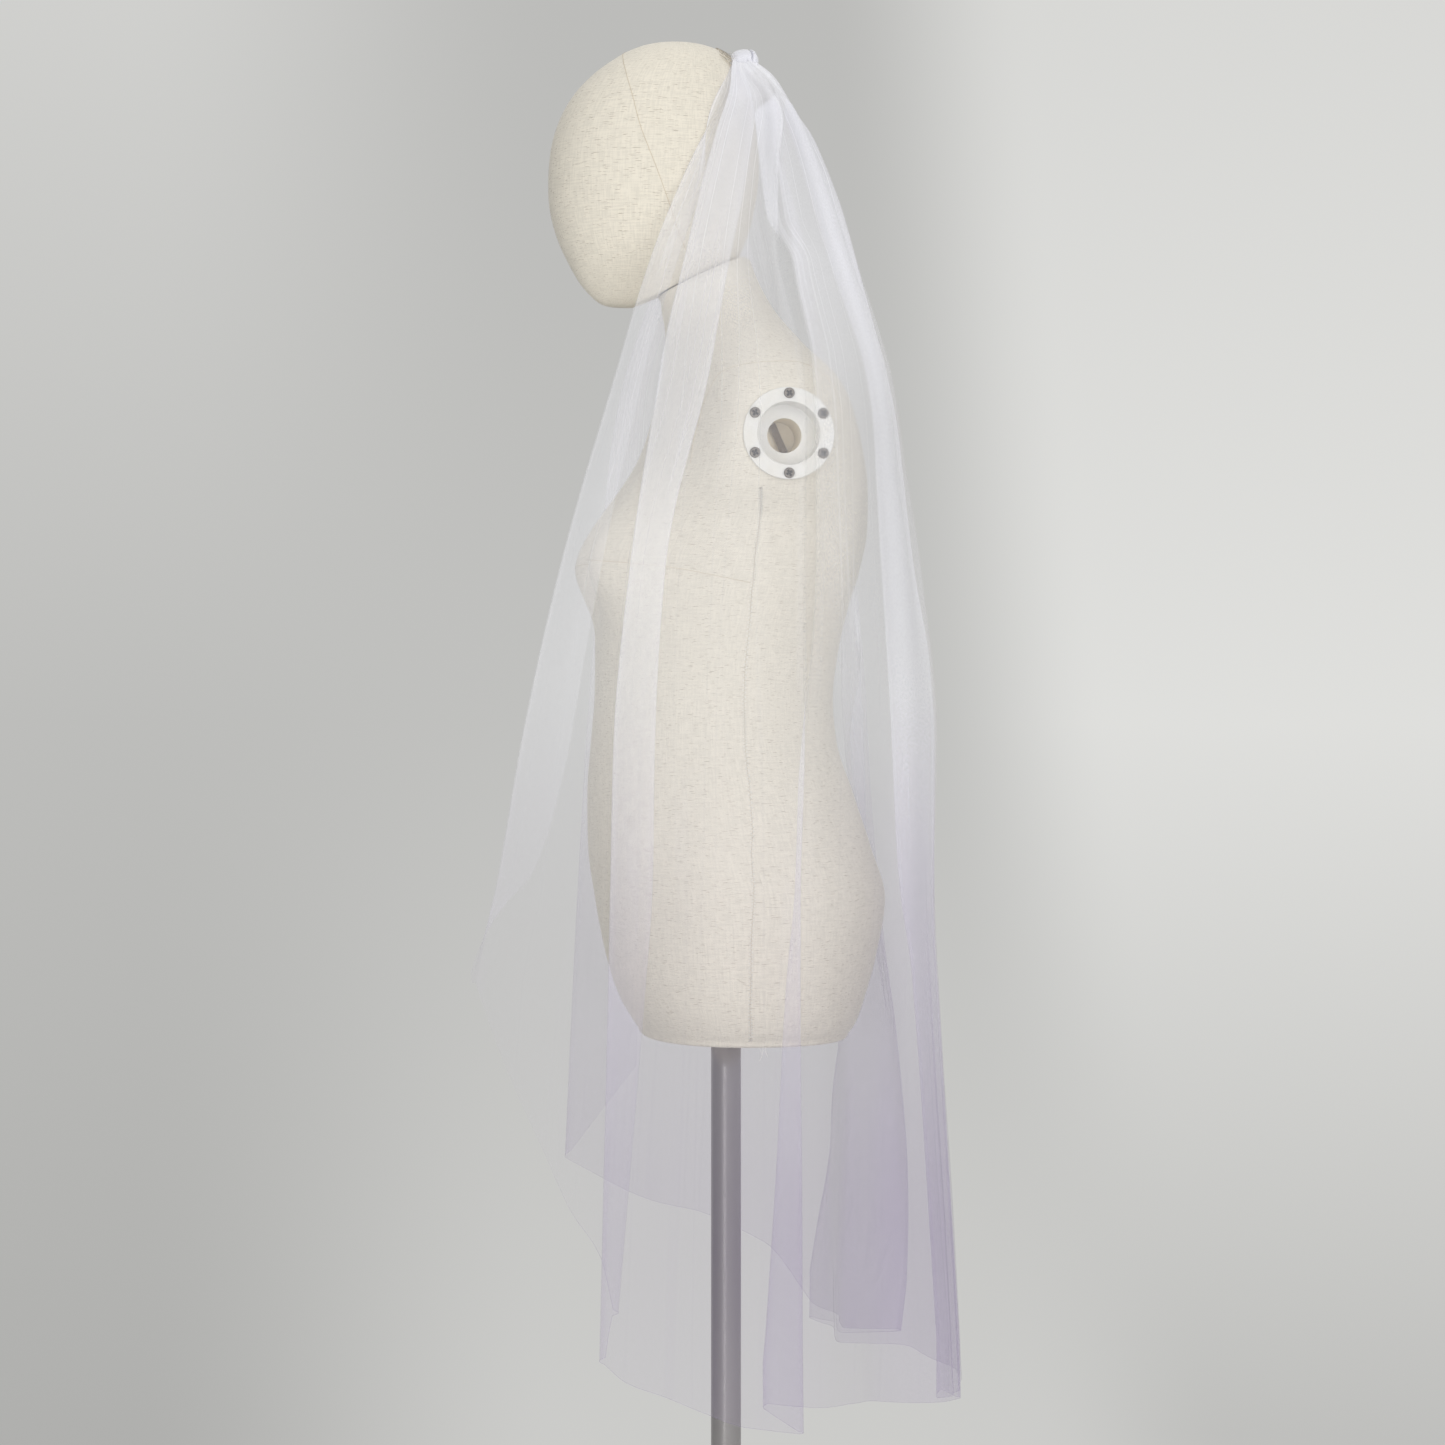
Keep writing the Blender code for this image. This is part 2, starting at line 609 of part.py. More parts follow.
def head_top(x, y):
    """The height of the head's upper surface over (x, y): the ring, searched from the crown
    down, whose oval passes through the point."""
    degrees = np.linspace(0.5, 90, 4000)
    angles = column(HEAD_SECTIONS, "angle")
    middle = eased(angles, column(HEAD_SECTIONS, "middle"), degrees)
    size = np.sin(np.radians(degrees)) ** HEAD_FULLNESS
    z = (HEAD_TOP + HEAD_CHIN) / 2 + (HEAD_TOP - HEAD_CHIN) / 2 * np.cos(np.radians(degrees))
    x = np.asarray(x, float)[..., None]
    y = np.asarray(y, float)[..., None]
    inside = (x / (HEAD_HALF_WIDTH * size)) ** 2 + ((y - middle) / (HEAD_HALF_DEPTH * size)) ** 2 <= 1
    return z[np.argmax(inside, axis=-1)]


def over_head(x, y, lift):
    """The height over (x, y) that lies a lift away from the head, measured square to it."""
    step = 0.001
    slope_x = (head_top(x + step, y) - head_top(x - step, y)) / (2 * step)
    slope_y = (head_top(x, y + step) - head_top(x, y - step)) / (2 * step)
    return head_top(x, y) + lift * np.sqrt(1 + slope_x**2 + slope_y**2)


def make_comb(home):
    """A spine with teeth that point forward over the crown, in one sheet laid on the head."""
    half = COMB_LENGTH / 2
    pitch = (COMB_LENGTH - TOOTH_WIDTH) / (COMB_TEETH - 1)
    middles = [-half + TOOTH_WIDTH / 2 + i * pitch for i in range(COMB_TEETH)]
    back = COMB_Y + SPINE_DEPTH / 2
    front = COMB_Y - SPINE_DEPTH / 2
    tips = [front - TOOTH_LENGTH * share for share in (1.0, 0.5)]
    bm = bmesh.new()
    spine = []
    for middle in middles:
        for x in (middle - TOOTH_WIDTH / 2, middle + TOOTH_WIDTH / 2):
            spine.append([bm.verts.new((x, y, 0)) for y in (front, back)])
    for left, right in zip(spine, spine[1:]):
        bm.faces.new((left[0], right[0], right[1], left[1]))
    for i in range(COMB_TEETH):
        left, right = spine[2 * i], spine[2 * i + 1]
        rows = [[bm.verts.new((v[0].co.x, y, 0)) for v in (left, right)] for y in tips]
        rows.append([left[0], right[0]])
        for outer, inner in zip(rows, rows[1:]):
            bm.faces.new((outer[0], outer[1], inner[1], inner[0]))
    mesh = bpy.data.meshes.new("comb")
    bm.to_mesh(mesh)
    bm.free()
    points = np.empty(len(mesh.vertices) * 3)
    mesh.vertices.foreach_get("co", points)
    points = points.reshape(-1, 3)
    points[:, 2] = over_head(points[:, 0], points[:, 1], COMB_THICKNESS / 2 + 1.5 * GAP)
    mesh.vertices.foreach_set("co", points.ravel())
    obj = object_of("comb", mesh, home, COMB_WIRE)
    thick = obj.modifiers.new("Thickness", "SOLIDIFY")
    thick.thickness = COMB_THICKNESS
    thick.offset = 0
    return obj


def stadium(half_length, radius, share):
    """A point and outward direction on a long oval with straight sides and round ends, at a
    share of the way round it."""
    straight = 2 * half_length
    bend = math.pi * radius
    walked = (share % 1.0) * 2 * (straight + bend)
    on_back = walked < straight + bend
    way = np.where(on_back, walked, walked - straight - bend)
    sign = np.where(on_back, 1.0, -1.0)
    turn = np.clip((way - straight) / radius, 0, math.pi)
    x = half_length - np.minimum(way, straight) - radius * np.sin(turn)
    y = radius * np.cos(turn)
    return sign * x, sign * y, sign * -np.sin(turn), sign * np.cos(turn)


def make_heading(home):
    """The stitched gathers that stand over the comb: an upright oval wall that opens upwards
    in waves. At share t of its height it has moved out by t*(flare + wave)."""
    columns = HEADING_WAVES * 4
    share = (np.arange(columns) / columns)[None, :]
    t = np.array([0.0, 0.45, 1.0])[:, None]
    foot_x, foot_y, out_x, out_y = stadium(HEADING_HALF_LENGTH, HEADING_END_RADIUS, share)
    uneven = share + 0.008 * np.sin(2 * math.pi * 3 * share + 0.6)
    wave = HEADING_WAVE * np.sin(2 * math.pi * HEADING_WAVES * uneven)
    out = t**2 * HEADING_FLARE + t * wave
    x = foot_x + out_x * out
    y = COMB_Y + foot_y + out_y * out + 0.003 * t
    tall = 1 + 0.08 * np.sin(2 * math.pi * 2 * share + 0.4) + 0.05 * np.sin(2 * math.pi * 7 * share)
    foot = over_head(foot_x, COMB_Y + foot_y, COMB_THICKNESS + HEADING_LIFT)
    z = foot + HEADING_RISE * t * tall
    points = np.stack(np.broadcast_arrays(x, y, z), -1)
    obj = object_of("veil_heading", grid_mesh("veil_heading", points, closed_ring=True), home, TULLE)
    wall = obj.modifiers.new("Wall", "SOLIDIFY")
    wall.thickness = HEADING_WALL
    wall.offset = 0
    return obj


# Veil


def oval(z, angle):
    """A point of the veil's oval at height z and angle (0 at the front, 180 at the back,
    through the near side) and the oval's outward direction there."""
    heights = column(VEIL_SECTIONS, "z")
    half_width, middle, front, back = (
        eased(heights, column(VEIL_SECTIONS, name), z)
        for name in ("half_width", "middle", "front_depth", "back_depth")
    )
    turn = np.radians(angle)
    across, along = np.sin(turn), -np.cos(turn)
    depth = np.where(along < 0, front, back)
    x = half_width * np.sign(across) * np.abs(across) ** SIDE_FULLNESS
    y = middle + depth * along
    out_x, out_y = across * depth, along * half_width
    length = np.hypot(out_x, out_y)
    return x, y, out_x / length, out_y / length


def angle_of(z, y, side):
    """The angle round the oval where its near or far side passes Y at height z."""
    heights = column(VEIL_SECTIONS, "z")
    middle = eased(heights, column(VEIL_SECTIONS, "middle"), z)
    front = eased(heights, column(VEIL_SECTIONS, "front_depth"), z)
    back = eased(heights, column(VEIL_SECTIONS, "back_depth"), z)
    depth = np.where(y < middle, front, back)
    turn = np.degrees(np.arccos(np.clip((middle - y) / depth, -1, 1)))
    return turn if side == "near" else 360 - turn


def line_angle(name, side, z):
    row = next(row for row in EDGE_LINES[1:] if row[:2] == (name, side))
    return angle_of(z, eased(LINE_HEIGHTS, row[2:], z), side)


def side_step(z, length):
    """The angle that a length of cloth takes up, from the oval's mean radius."""
    heights = column(VEIL_SECTIONS, "z")
    half_width, front, back = (
        eased(heights, column(VEIL_SECTIONS, name), z) for name in ("half_width", "front_depth", "back_depth")
    )
    return np.degrees(length / ((2 * half_width + front + back) / 4))


def gather_wave(z, angle):
    """The gathers: uneven waves that are fine and even at the comb and fade below the shoulder."""
    turn = np.radians(angle)
    drift = turn + 0.10 * np.sin(3 * turn + 0.8) + 0.05 * np.sin(7 * turn)
    wave = np.sin(GATHERS * drift) * (0.75 + 0.25 * np.sin(2 * turn + 1.1))
    size = eased(GATHER_HEIGHTS, GATHER_SIZES, z)
    return size * wave


def soft_folds(z, angle):
    """The sum of the soft folds, each a smooth bump (1 + cos) / 2 about its own line."""
    total = np.zeros(np.broadcast(z, angle).shape)
    for row in SOFT_FOLDS[1:]:
        line = eased((0.55, 1.10, 1.69), (row[2], row[1], row[0]), z)
        depth = eased(SOFT_HEIGHTS, row[4:], z)
        away = np.clip((angle - line) / row[3], -1, 1)
        total = total + depth * (1 + np.cos(math.pi * away)) / 2
    return total * smooth_step(1.69, 1.60, z)


def stretch_columns():
    """The cloth from the near front edge round the back to the far one, as a list of columns:
    (stretch, share of the way along it, kind)."""
    columns = []
    for i, (name, inner) in enumerate(STRETCH_COLUMNS.items()):
        columns += [(name, share, "run") for share in np.linspace(0, 1, inner + 2)]
        if i < len(STRETCH_COLUMNS) - 1:
            columns.append((name, 1.0, "turn"))
    return columns


def stretch_ends(z):
    """For each stretch, the angles where it starts and ends at height z, and its layer. Where a
    fold has not begun yet its two lines are pulled apart, so the cloth runs on plainly."""
    spare = side_step(z, eased(SPARE_HEIGHTS, SPARE_LENGTHS, z))
    near_open = eased(FLAP_OPEN_HEIGHTS, NEAR_FLAP_OPEN, z)
    far_open = eased(FLAP_OPEN_HEIGHTS, FAR_FLAP_OPEN, z)
    near_flap = side_step(z, eased(FLAP_HEIGHTS, NEAR_FLAP, z)) * (1 - 2 * near_open)
    far_flap = side_step(z, eased(FLAP_HEIGHTS, FAR_FLAP, z)) * (1 - 2 * far_open)
    near_front = line_angle("front fold", "near", z)
    far_front = line_angle("front fold", "far", z)
    band_back = line_angle("band back", "near", z)
    band_front = line_angle("band front", "near", z)
    strip_back = line_angle("strip back", "near", z)
    strip_front = line_angle("strip front", "near", z)
    pleat_back = line_angle("pleat back", "far", z)
    pleat_front = line_angle("pleat front", "far", z)
    strip_open = smooth_step(*STRIP_OPENS, z)
    strip_end = strip_front * (1 - strip_open) + (strip_back + spare) * strip_open
    pleat_open = smooth_step(*PLEAT_OPENS, z)
    pleat_end = pleat_front * (1 - pleat_open) + (pleat_back + spare) * pleat_open
    return {
        "near flap": (near_front + near_flap, near_front, -0.25),
        "near front": (near_front, band_back, 1),
        "band": (band_back, band_front, 2),
        "near side": (band_front, strip_back, 3),
        "strip": (strip_back, strip_end, 2),
        "back": (strip_end, pleat_back, 1),
        "pleat": (pleat_back, pleat_end, 2),
        "far front": (pleat_end, far_front, 3),
        "far flap": (far_front, far_front - far_flap, 2),
    }


def hem_height(stretch, share):
    marks = HEM_STRETCHES[stretch]
    return eased([m[0] for m in marks], [m[1] for m in marks], share)


def veil_grid():
    """The veil's middle surface. Each column runs from the comb to the hem; at its height z a
    point lies on the oval at the column's angle, moved out by its layer, the gathers and the
    soft folds. Each stretch knows which way it runs, 1 towards the far edge and -1 back, and
    its ends draw in from the fold lines by a turn's length that way."""
    upper = VEIL_TOP + (EVEN_DOWN_TO - VEIL_TOP) * np.linspace(0, 1, UPPER_LEVELS) ** LEVEL_SPREAD
    lower = np.arange(1, LOWER_LEVELS + 1) / LOWER_LEVELS
    columns = stretch_columns()
    grid = np.empty((len(upper) + len(lower), len(columns), 3))
    names = list(HEM_STRETCHES)
    for j, (name, share, kind) in enumerate(columns):
        hem = float(hem_height(name, share))
        z = np.concatenate([upper, EVEN_DOWN_TO + (hem - EVEN_DOWN_TO) * lower])
        ends = stretch_ends(z)
        turn = side_step(z, TURN)
        ways = {k: np.clip((v[1] - v[0]) / (TURNS_TO_LIE_FLAT * turn), -1, 1) for k, v in ends.items()}
        start, end, layer = ends[name]
        way = ways[name]
        first = start + turn * way * (name != names[0])
        last = end - turn * way * (name != names[-1])
        angle = first + (last - first) * share
        layer = layer + LAYER_SLOPES.get(name, 0.0) * (share - 0.5)
        if kind == "turn":
            following = names[names.index(name) + 1]
            layer = (ends[name][2] + ends[following][2]) / 2
            angle = end + turn * TURN_BULGE * (way - ways[following])
        pitch = eased(LAYER_HEIGHTS, LAYER_PITCHES, z)
        x, y, out_x, out_y = oval(z, angle)
        out = layer * pitch + gather_wave(z, angle) + soft_folds(z, angle)
        sag = END_SAG * np.abs(np.sin(np.radians(angle))) ** 1.5 * smooth_step(*SAG_HEIGHTS, z)
        grid[:, j] = np.stack([x + out_x * out, y + out_y * out, z - sag], -1)
    return grid


def make_veil(home):
    mesh = grid_mesh("veil_panel", veil_grid())
    obj = object_of("veil_panel", mesh, home, TULLE)
    wall = obj.modifiers.new("Wall", "SOLIDIFY")
    wall.thickness = WALL
    wall.offset = 0
    wall.use_quality_normals = True
    return obj


def main():
    clear_scene()
    home = collection("veil_on_dress_form")
    cutters = collection("cutters", hidden=True)
    make_base(home)
    make_pole(home)
    make_torso(home, cutters)
    make_head(home, cutters)
    for side in (1, -1):
        make_arm_socket(side, home)
    make_comb(home)
    make_heading(home)
    make_veil(home)


main()
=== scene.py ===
"""A tulle veil on a limbless linen dress form: the looks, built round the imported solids.

It is laid out as an add-on and run as a script. Metres, +Z up; the form faces -Y and its
left side is +X. "Near" names the form's left half, "far" its right half.
"""

import math
from collections import namedtuple

import bmesh
import bpy
import numpy as np
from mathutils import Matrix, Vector


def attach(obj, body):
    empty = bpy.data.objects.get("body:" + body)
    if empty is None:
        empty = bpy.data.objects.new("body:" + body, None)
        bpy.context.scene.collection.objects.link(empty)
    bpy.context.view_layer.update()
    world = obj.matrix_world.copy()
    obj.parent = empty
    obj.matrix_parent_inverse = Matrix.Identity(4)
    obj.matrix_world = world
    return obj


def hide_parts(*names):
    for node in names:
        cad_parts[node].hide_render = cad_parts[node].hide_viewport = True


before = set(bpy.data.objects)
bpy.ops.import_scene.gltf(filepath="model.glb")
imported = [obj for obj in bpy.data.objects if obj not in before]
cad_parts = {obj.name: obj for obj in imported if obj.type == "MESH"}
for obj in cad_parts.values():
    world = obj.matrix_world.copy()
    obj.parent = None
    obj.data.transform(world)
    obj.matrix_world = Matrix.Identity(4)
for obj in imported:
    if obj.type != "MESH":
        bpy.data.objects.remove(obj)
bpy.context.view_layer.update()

bl_info = {
    "name": "Tulle veil on a dress form",
    "version": (1, 0, 0),
    "blender": (4, 5, 0),
    "location": "3D View > Sidebar > Veil",
    "description": "Builds a gathered tulle veil, its comb and a linen dress form on a steel stand",
    "category": "Object",
}

# Camera
AZIMUTH = 82
DISTANCE = 2.8
TARGET = (0.0, -0.0032, 1.0907)
FRAME_WIDTH = 1.3005
SENSOR = 36.0

# Brightness of the wall behind, low, middle and high, in three columns from left to right;
# the rest gives where one shade turns into the next, by the direction looked in. The shades
# are painted light and shade on the wall, with the veil's soft shadow painted in the darker
# middle column beside its back
WALL_SHADES = ((0.72, 0.85, 1.05), (1.00, 0.89, 0.84), (0.87, 1.23, 1.15))
WALL_REACH = 0.22
TO_CENTRE = (-0.05, 0.09)
TO_RIGHT = (0.198, 0.262)
RIGHT_LEAN = 0.14
ROOM_SHADES = (0.32, 0.70)
ROOM_SIDES = (-0.30, 0.05)
ROOM_FROM = (-0.8, -0.6)

# Floor and lamps
FLOOR_LEVEL = -0.0005
LAMPS_TO = (0, 0, 1.15)
LAMPS = (
    ("name", "place", "width", "height", "power"),
    ("key", (2.6, -2.4, 1.7), 2.2, 2.2, 46.0),
    ("fill", (3.3, 0.9, 1.3), 2.2, 2.2, 43.0),
    ("top", (-0.4, 0.2, 3.6), 2.6, 2.6, 24.0),
    ("strip", (2.83, -1.0, 0.95), 0.15, 2.4, 7.0),
)

# Finishes: the pitch of linen threads and of the net, tones that are mixed in, and how the
# dye fades with the height over its foot
LINEN_PITCH = 0.0015
NET_PITCH = 0.0016
LINEN_MOTTLE = (0.80, 0.755, 0.665)
LINEN_SLUB = (0.50, 0.41, 0.30)
LINEN_HAIR = (0.30, 0.23, 0.16)
YELLOWING = (0.98, 0.965, 0.92)
METAL_SPOTS = (0.20, 0.16, 0.12)
# Painted shade for the screws: a near black mixed in where their "recess" number is high
METAL_RECESS_SHADE = (0.012, 0.010, 0.008)
DYE_FROM = 0.50
DYE_FADES = (0.62, 0.16)
DYE_POWER = 1.1

# Meshes: a tube's side vector, the share that a closed end is drawn in to, and the space
# between pieces that touch
TUBE_ACROSS = (0.31, 0.53, 0.79)
POLE_SHARE = 0.02
GAP = 0.0003

# Stand
BASE_RADIUS = 0.185
BASE_THICKNESS = 0.008
COLLAR_RADIUS = 0.026
COLLAR_TOP = 0.055
POLE_RADIUS = 0.0135

# Torso
TORSO_BOTTOM = 0.811
TORSO_ROLL = 0.0045
TORSO_INSET = 0.035
TORSO_GIRTH = 0.86
UNDERSIDE_MIDDLE = (0.0, 0.012, 0.0)
UNDERSIDE_RINGS = (0.105, 0.4, 0.80)
BUST_HEIGHT = 1.238
BREAST_SIDE = 0.074
BREAST_WIDTH = 0.050
BREAST_RISE = 0.058
BREAST_DEPTH = 0.036
LEAN_HEIGHTS = (1.40, 1.475)
SEAM_RADIUS = 0.0003
SEAM_SINK = 0.00005
STITCH_LIFT = 0.0002
FRAYED_ENDS = 6

# Arm sockets
PLATE_FACE = 0.1785
PLATE_Y = 0.028
PLATE_Z = 1.335
PLATE_RADIUS = 0.039
PLATE_THICKNESS = 0.0033
RECESS_RADIUS = 0.0267
RECESS_DEPTH = 0.0217
CUP_WALL = 0.0022
SIDE_FROM = 0.15
SOCKET_HOLE = RECESS_RADIUS + 0.0055
SOCKET_RADIUS = 0.0148
SOCKET_DEPTH = 0.0595
SCREW_CIRCLE = 0.0337
SCREW_RADIUS = 0.0045
SCREW_HEIGHT = 0.0014
SCREWS = 6
ROD_RADIUS = 0.0036
ROD_DEPTH = 0.060
ROD_LEAN = 24
ROD_THREAD = 0.00028
ROD_TURNS = 20

# Neck seat, a plane that rises towards the back
SEAT_FRONT = (-0.062, 1.473)
SEAT_BACK = (0.017, 1.510)
SEAT_SLOPE = (SEAT_BACK[1] - SEAT_FRONT[1]) / (SEAT_BACK[0] - SEAT_FRONT[0])
NECK_TOP_HALF_WIDTH = 0.049
NECK_RINGS = (0.985, 0.94, 0.5, 0.01)
NECK_EDGE = 0.0015
NECK_GAP = 0.0008

# Head
HEAD_TOP = 1.700
HEAD_CHIN = 1.4624
HEAD_HALF_DEPTH = 0.0945
HEAD_HALF_WIDTH = 0.0765
HEAD_FULLNESS = 0.8
HEAD_POLE = 0.012
HEAD_SPREAD = (0.078, 0.125)

# Comb and heading
COMB_LENGTH = 0.070
COMB_Y = 0.0055
COMB_TEETH = 14
TOOTH_LENGTH = 0.014
SPINE_RADIUS = 0.0009
SPINE_LIFT = 0.0013
BINDING_LOOPS = 22
HEADING_HALF_LENGTH = 0.0255
HEADING_END_RADIUS = 0.0076
HEADING_RISE = 0.0085
HEADING_MIDDLE = COMB_Y + 0.0085
HEADING_LIFT = 0.0028
HEADING_FALL = 0.24
HEADING_COVER = 0.60
HEADING_LAYERS = (
    ("radius", "waves", "phase", "rise_share", "gather_size"),
    (0.0100, 19, 0.3, 1.00, 0.0006),
    (0.0078, 17, 1.9, 0.93, 0.0007),
    (0.0054, 15, 4.1, 0.86, 0.0006),
)
DOME_LEAN = 0.0060
RIDGE_CLOSES = 0.88
STITCHES = 60
STITCH_SHARE = 0.0105
STITCH_ROW_RADIUS = 0.0105
STITCH_ROW_LIFTS = (0.0012, 0.0034)

# Veil
VEIL_TOP = 1.6900
EVEN_DOWN_TO = 0.965
SIDE_FULLNESS = 0.75
END_SAG = 0.0128
SAG_HEIGHTS = (1.60, VEIL_TOP)
TOP_MIDDLE = 0.009
TOP_OVAL = (0.038, 0.0088)
LAYER_HEIGHTS = (0.50, 0.80, 1.50, 1.61, 1.645, VEIL_TOP)
LAYER_PITCHES = (0.0042, 0.0036, 0.0042, 0.0036, 0.0020, 0.0006)
TURN = 0.0024
TURNS_TO_LIE_FLAT = 2.4
TURN_BULGE = 0.75
TURN_COLUMNS = 5
CREASE_REACH = 0.004
STRIP_OPENS = (1.02, 1.24)
STRIP_CLOSES = (1.49, 1.53)
TOP_OPENS = (1.625, 1.66)
PLEAT_OPENS = (1.04, 1.28)
GATHERS = 15
CROWD_REACH = 4
MOST_CROWDED = 12.0
EVEN_TOP = (1.58, 1.675)
EVEN_SHARE = 0.85
CLOTH_WIDTH = 1.50
COLLAR_ROWS = 9
UPPER_ROWS = 130
LOWER_ROWS = 60
LEVEL_SPREAD = 1.25
FRONT_FADING = 0.55
LOW_THINNING = 0.42

TORSO_SECTIONS = (
    ("z", "front", "back", "half_width", "power"),
    (0.811, -0.074, 0.103, 0.128, 2.3),
    (0.822, -0.082, 0.112, 0.140, 2.3),
    (0.847, -0.096, 0.121, 0.153, 2.3),
    (0.883, -0.107, 0.131, 0.161, 2.3),
    (0.935, -0.117, 0.1395, 0.164, 2.3),
    (0.980, -0.123, 0.127, 0.156, 2.3),
    (1.028, -0.124, 0.112, 0.142, 2.2),
    (1.075, -0.121, 0.098, 0.127, 2.1),
    (1.112, -0.118, 0.095, 0.121, 2.1),
    (1.150, -0.117, 0.099, 0.124, 2.1),
    (1.190, -0.113, 0.107, 0.132, 2.2),
    (1.225, -0.106, 0.117, 0.140, 2.3),
    (1.262, -0.094, 0.123, 0.151, 2.4),
    (1.300, -0.081, 0.121, 0.176, 2.4),
    (1.335, -0.070, 0.115, 0.187, 2.3),
    (1.370, -0.062, 0.106, 0.180, 2.3),
    (1.400, -0.057, 0.092, 0.152, 2.2),
    (1.420, -0.055, 0.0640, 0.116, 2.1),
    (1.438, -0.054, 0.0405, 0.080, 2.0),
    (1.455, -0.057, 0.0270, 0.061, 2.0),
    (1.475, -0.060, 0.0180, 0.053, 2.0),
)

# Head rings by angle from the crown: middle of the ring and how full its sides are
HEAD_SECTIONS = (
    ("angle", "middle", "width_share"),
    (0, -0.0450, 1.00),
    (16, -0.0453, 1.00),
    (30, -0.0472, 1.00),
    (41, -0.0518, 1.00),
    (53, -0.0577, 1.00),
    (64, -0.0615, 1.00),
    (78, -0.0644, 1.00),
    (91, -0.0655, 1.00),
    (108, -0.0672, 0.96),
    (128, -0.0674, 0.88),
    (150, -0.0735, 0.70),
    (180, -0.0950, 0.55),
)

# Veil sections, an oval open at the front
VEIL_SECTIONS = (
    ("z", "half_width", "middle", "front_depth", "back_depth"),
    (0.490, 0.224, 0.000, 0.330, 0.208),
    (0.650, 0.215, 0.000, 0.330, 0.200),
    (0.800, 0.208, 0.000, 0.330, 0.190),
    (0.950, 0.203, 0.000, 0.320, 0.182),
    (1.080, 0.200, 0.000, 0.285, 0.181),
    (1.220, 0.202, 0.000, 0.240, 0.167),
    (1.340, 0.205, 0.000, 0.194, 0.148),
    (1.400, 0.182, 0.000, 0.165, 0.140),
    (1.440, 0.150, 0.000, 0.150, 0.131),
    (1.500, 0.110, 0.000, 0.125, 0.114),
    (1.560, 0.089, 0.000, 0.105, 0.095),
    (1.620, 0.078, 0.005, 0.060, 0.064),
    (1.650, 0.070, 0.008, 0.044, 0.046),
    (1.673, 0.054, 0.010, 0.022, 0.030),
    (1.690, 0.0360, 0.0090, 0.0080, 0.0095),
)

# Where each edge and fold line lies along the side of the veil, as Y, from the comb to the hem
EDGE_LINES = (
    ("front fold", "near", 0.0024, -0.018, -0.046, -0.074, -0.11, -0.163,
     -0.194, -0.217, -0.236, -0.2471, -0.255),
    ("band back", "near", 0.0062, 0.012, 0.004, -0.012, -0.037, -0.079,
     -0.088, -0.091, -0.097, -0.1098, -0.124),
    ("band front", "near", 0.004, -0.01, -0.028, -0.046, -0.073, -0.104,
     -0.118, -0.122, -0.124, -0.1279, -0.132),
    ("strip back", "near", 0.012, 0.034, 0.029, 0.026, 0.034, 0.034, 0.033, 0.029, 0.028, 0.0275, 0.026),
    ("strip front", "near", 0.012, 0.014, 0.0175, 0.024, 0.034, 0.033, 0.031, 0.027, 0.02, 0.0111, -0.0005),
    ("fold back", "near", 0.015, 0.056, 0.083, 0.101, 0.121, 0.146, 0.168, 0.169, 0.169, 0.174, 0.183),
    ("fold front", "near", 0.015, 0.046, 0.066, 0.084, 0.106, 0.122, 0.136, 0.143, 0.152, 0.162, 0.17),
    ("pleat back", "far", 0.014, 0.028, 0.04, 0.06, 0.09, 0.148, 0.162, 0.17, 0.16, 0.138, 0.105),
    ("pleat front", "far", 0.014, 0.028, 0.04, 0.06, 0.09, 0.152, 0.172, 0.176, 0.18, 0.1843, 0.188),
    ("front fold", "far", 0.0025, -0.005, -0.032, -0.05, -0.075, -0.095,
     -0.106, -0.113, -0.117, -0.1235, -0.13),
)
LINE_HEIGHTS = (1.69, 1.63, 1.57, 1.50, 1.40, 1.22, 1.08, 0.95, 0.87, 0.72, 0.56)

# Flaps turned in at the two front edges: width by height, and where each lies open (1)
FLAP_HEIGHTS = (1.69, 1.62, 1.40, 1.16, 1.08, 1.02, 0.965, 0.935, 0.88, 0.50)
NEAR_FLAP = (0.0040, 0.012, 0.026, 0.036, 0.037, 0.033, 0.024, 0.012, 0.006, 0.006)
FAR_FLAP = (0.0040, 0.010, 0.022, 0.030, 0.034, 0.036, 0.038, 0.040, 0.044, 0.050)
NEAR_FLAP_OPEN = (1.0, 1.0, 0.0, 0.0, 1.0, 1.0)
FAR_FLAP_OPEN = (0.0, 0.0, 0.0, 0.0, 1.0, 1.0)
FLAP_OPEN_HEIGHTS = (0.50, 0.870, 0.965, 1.56, 1.65, 1.69)

GATHER_HEIGHTS = (0.5, 0.9, 1.3, 1.45, 1.56, 1.63, 1.67, VEIL_TOP)
GATHER_SIZES = (0.0020, 0.0022, 0.0028, 0.0032, 0.0026, 0.0016, 0.0010, 0.0004)
SPARE_HEIGHTS = (1.50, 1.69)
SPARE_LENGTHS = (0.014, 0.008)

# Soft folds down the back: angle at the comb, waist and hem, half width in degrees, and how
# far the cloth moves in (-) or out (+) at each height
SOFT_FOLDS = (
    (200, 196, 190, 17, -0.018, -0.036, -0.030, -0.024, -0.036, -0.052, -0.034, -0.014, 0.000),
    (221, 219, 216, 17, 0.000, 0.000, 0.000, 0.000, -0.004, -0.012, -0.026, -0.028, -0.050),
    (142, 134, 128, 24, 0.000, 0.000, 0.000, -0.002, -0.004, -0.010, -0.016, -0.024, -0.034),
    (160, 164, 163, 13, 0.004, 0.006, 0.006, 0.006, 0.006, 0.006, 0.002, -0.001, 0.000),
    (243, 246, 244, 15, 0.000, 0.002, 0.004, 0.006, 0.008, 0.010, 0.012, 0.016, 0.020),
    (112, 104, 98, 15, 0.000, 0.000, 0.000, 0.000, 0.000, 0.004, 0.006, 0.008, 0.012),
    (176, 178, 180, 10, 0.003, 0.005, 0.004, 0.004, 0.004, 0.004, 0.004, 0.006, 0.008),
)
SOFT_HEIGHTS = (1.62, 1.48, 1.40, 1.30, 1.22, 1.10, 0.95, 0.80, 0.55)
SOFT_LINE_HEIGHTS = (0.55, 1.10, 1.69)
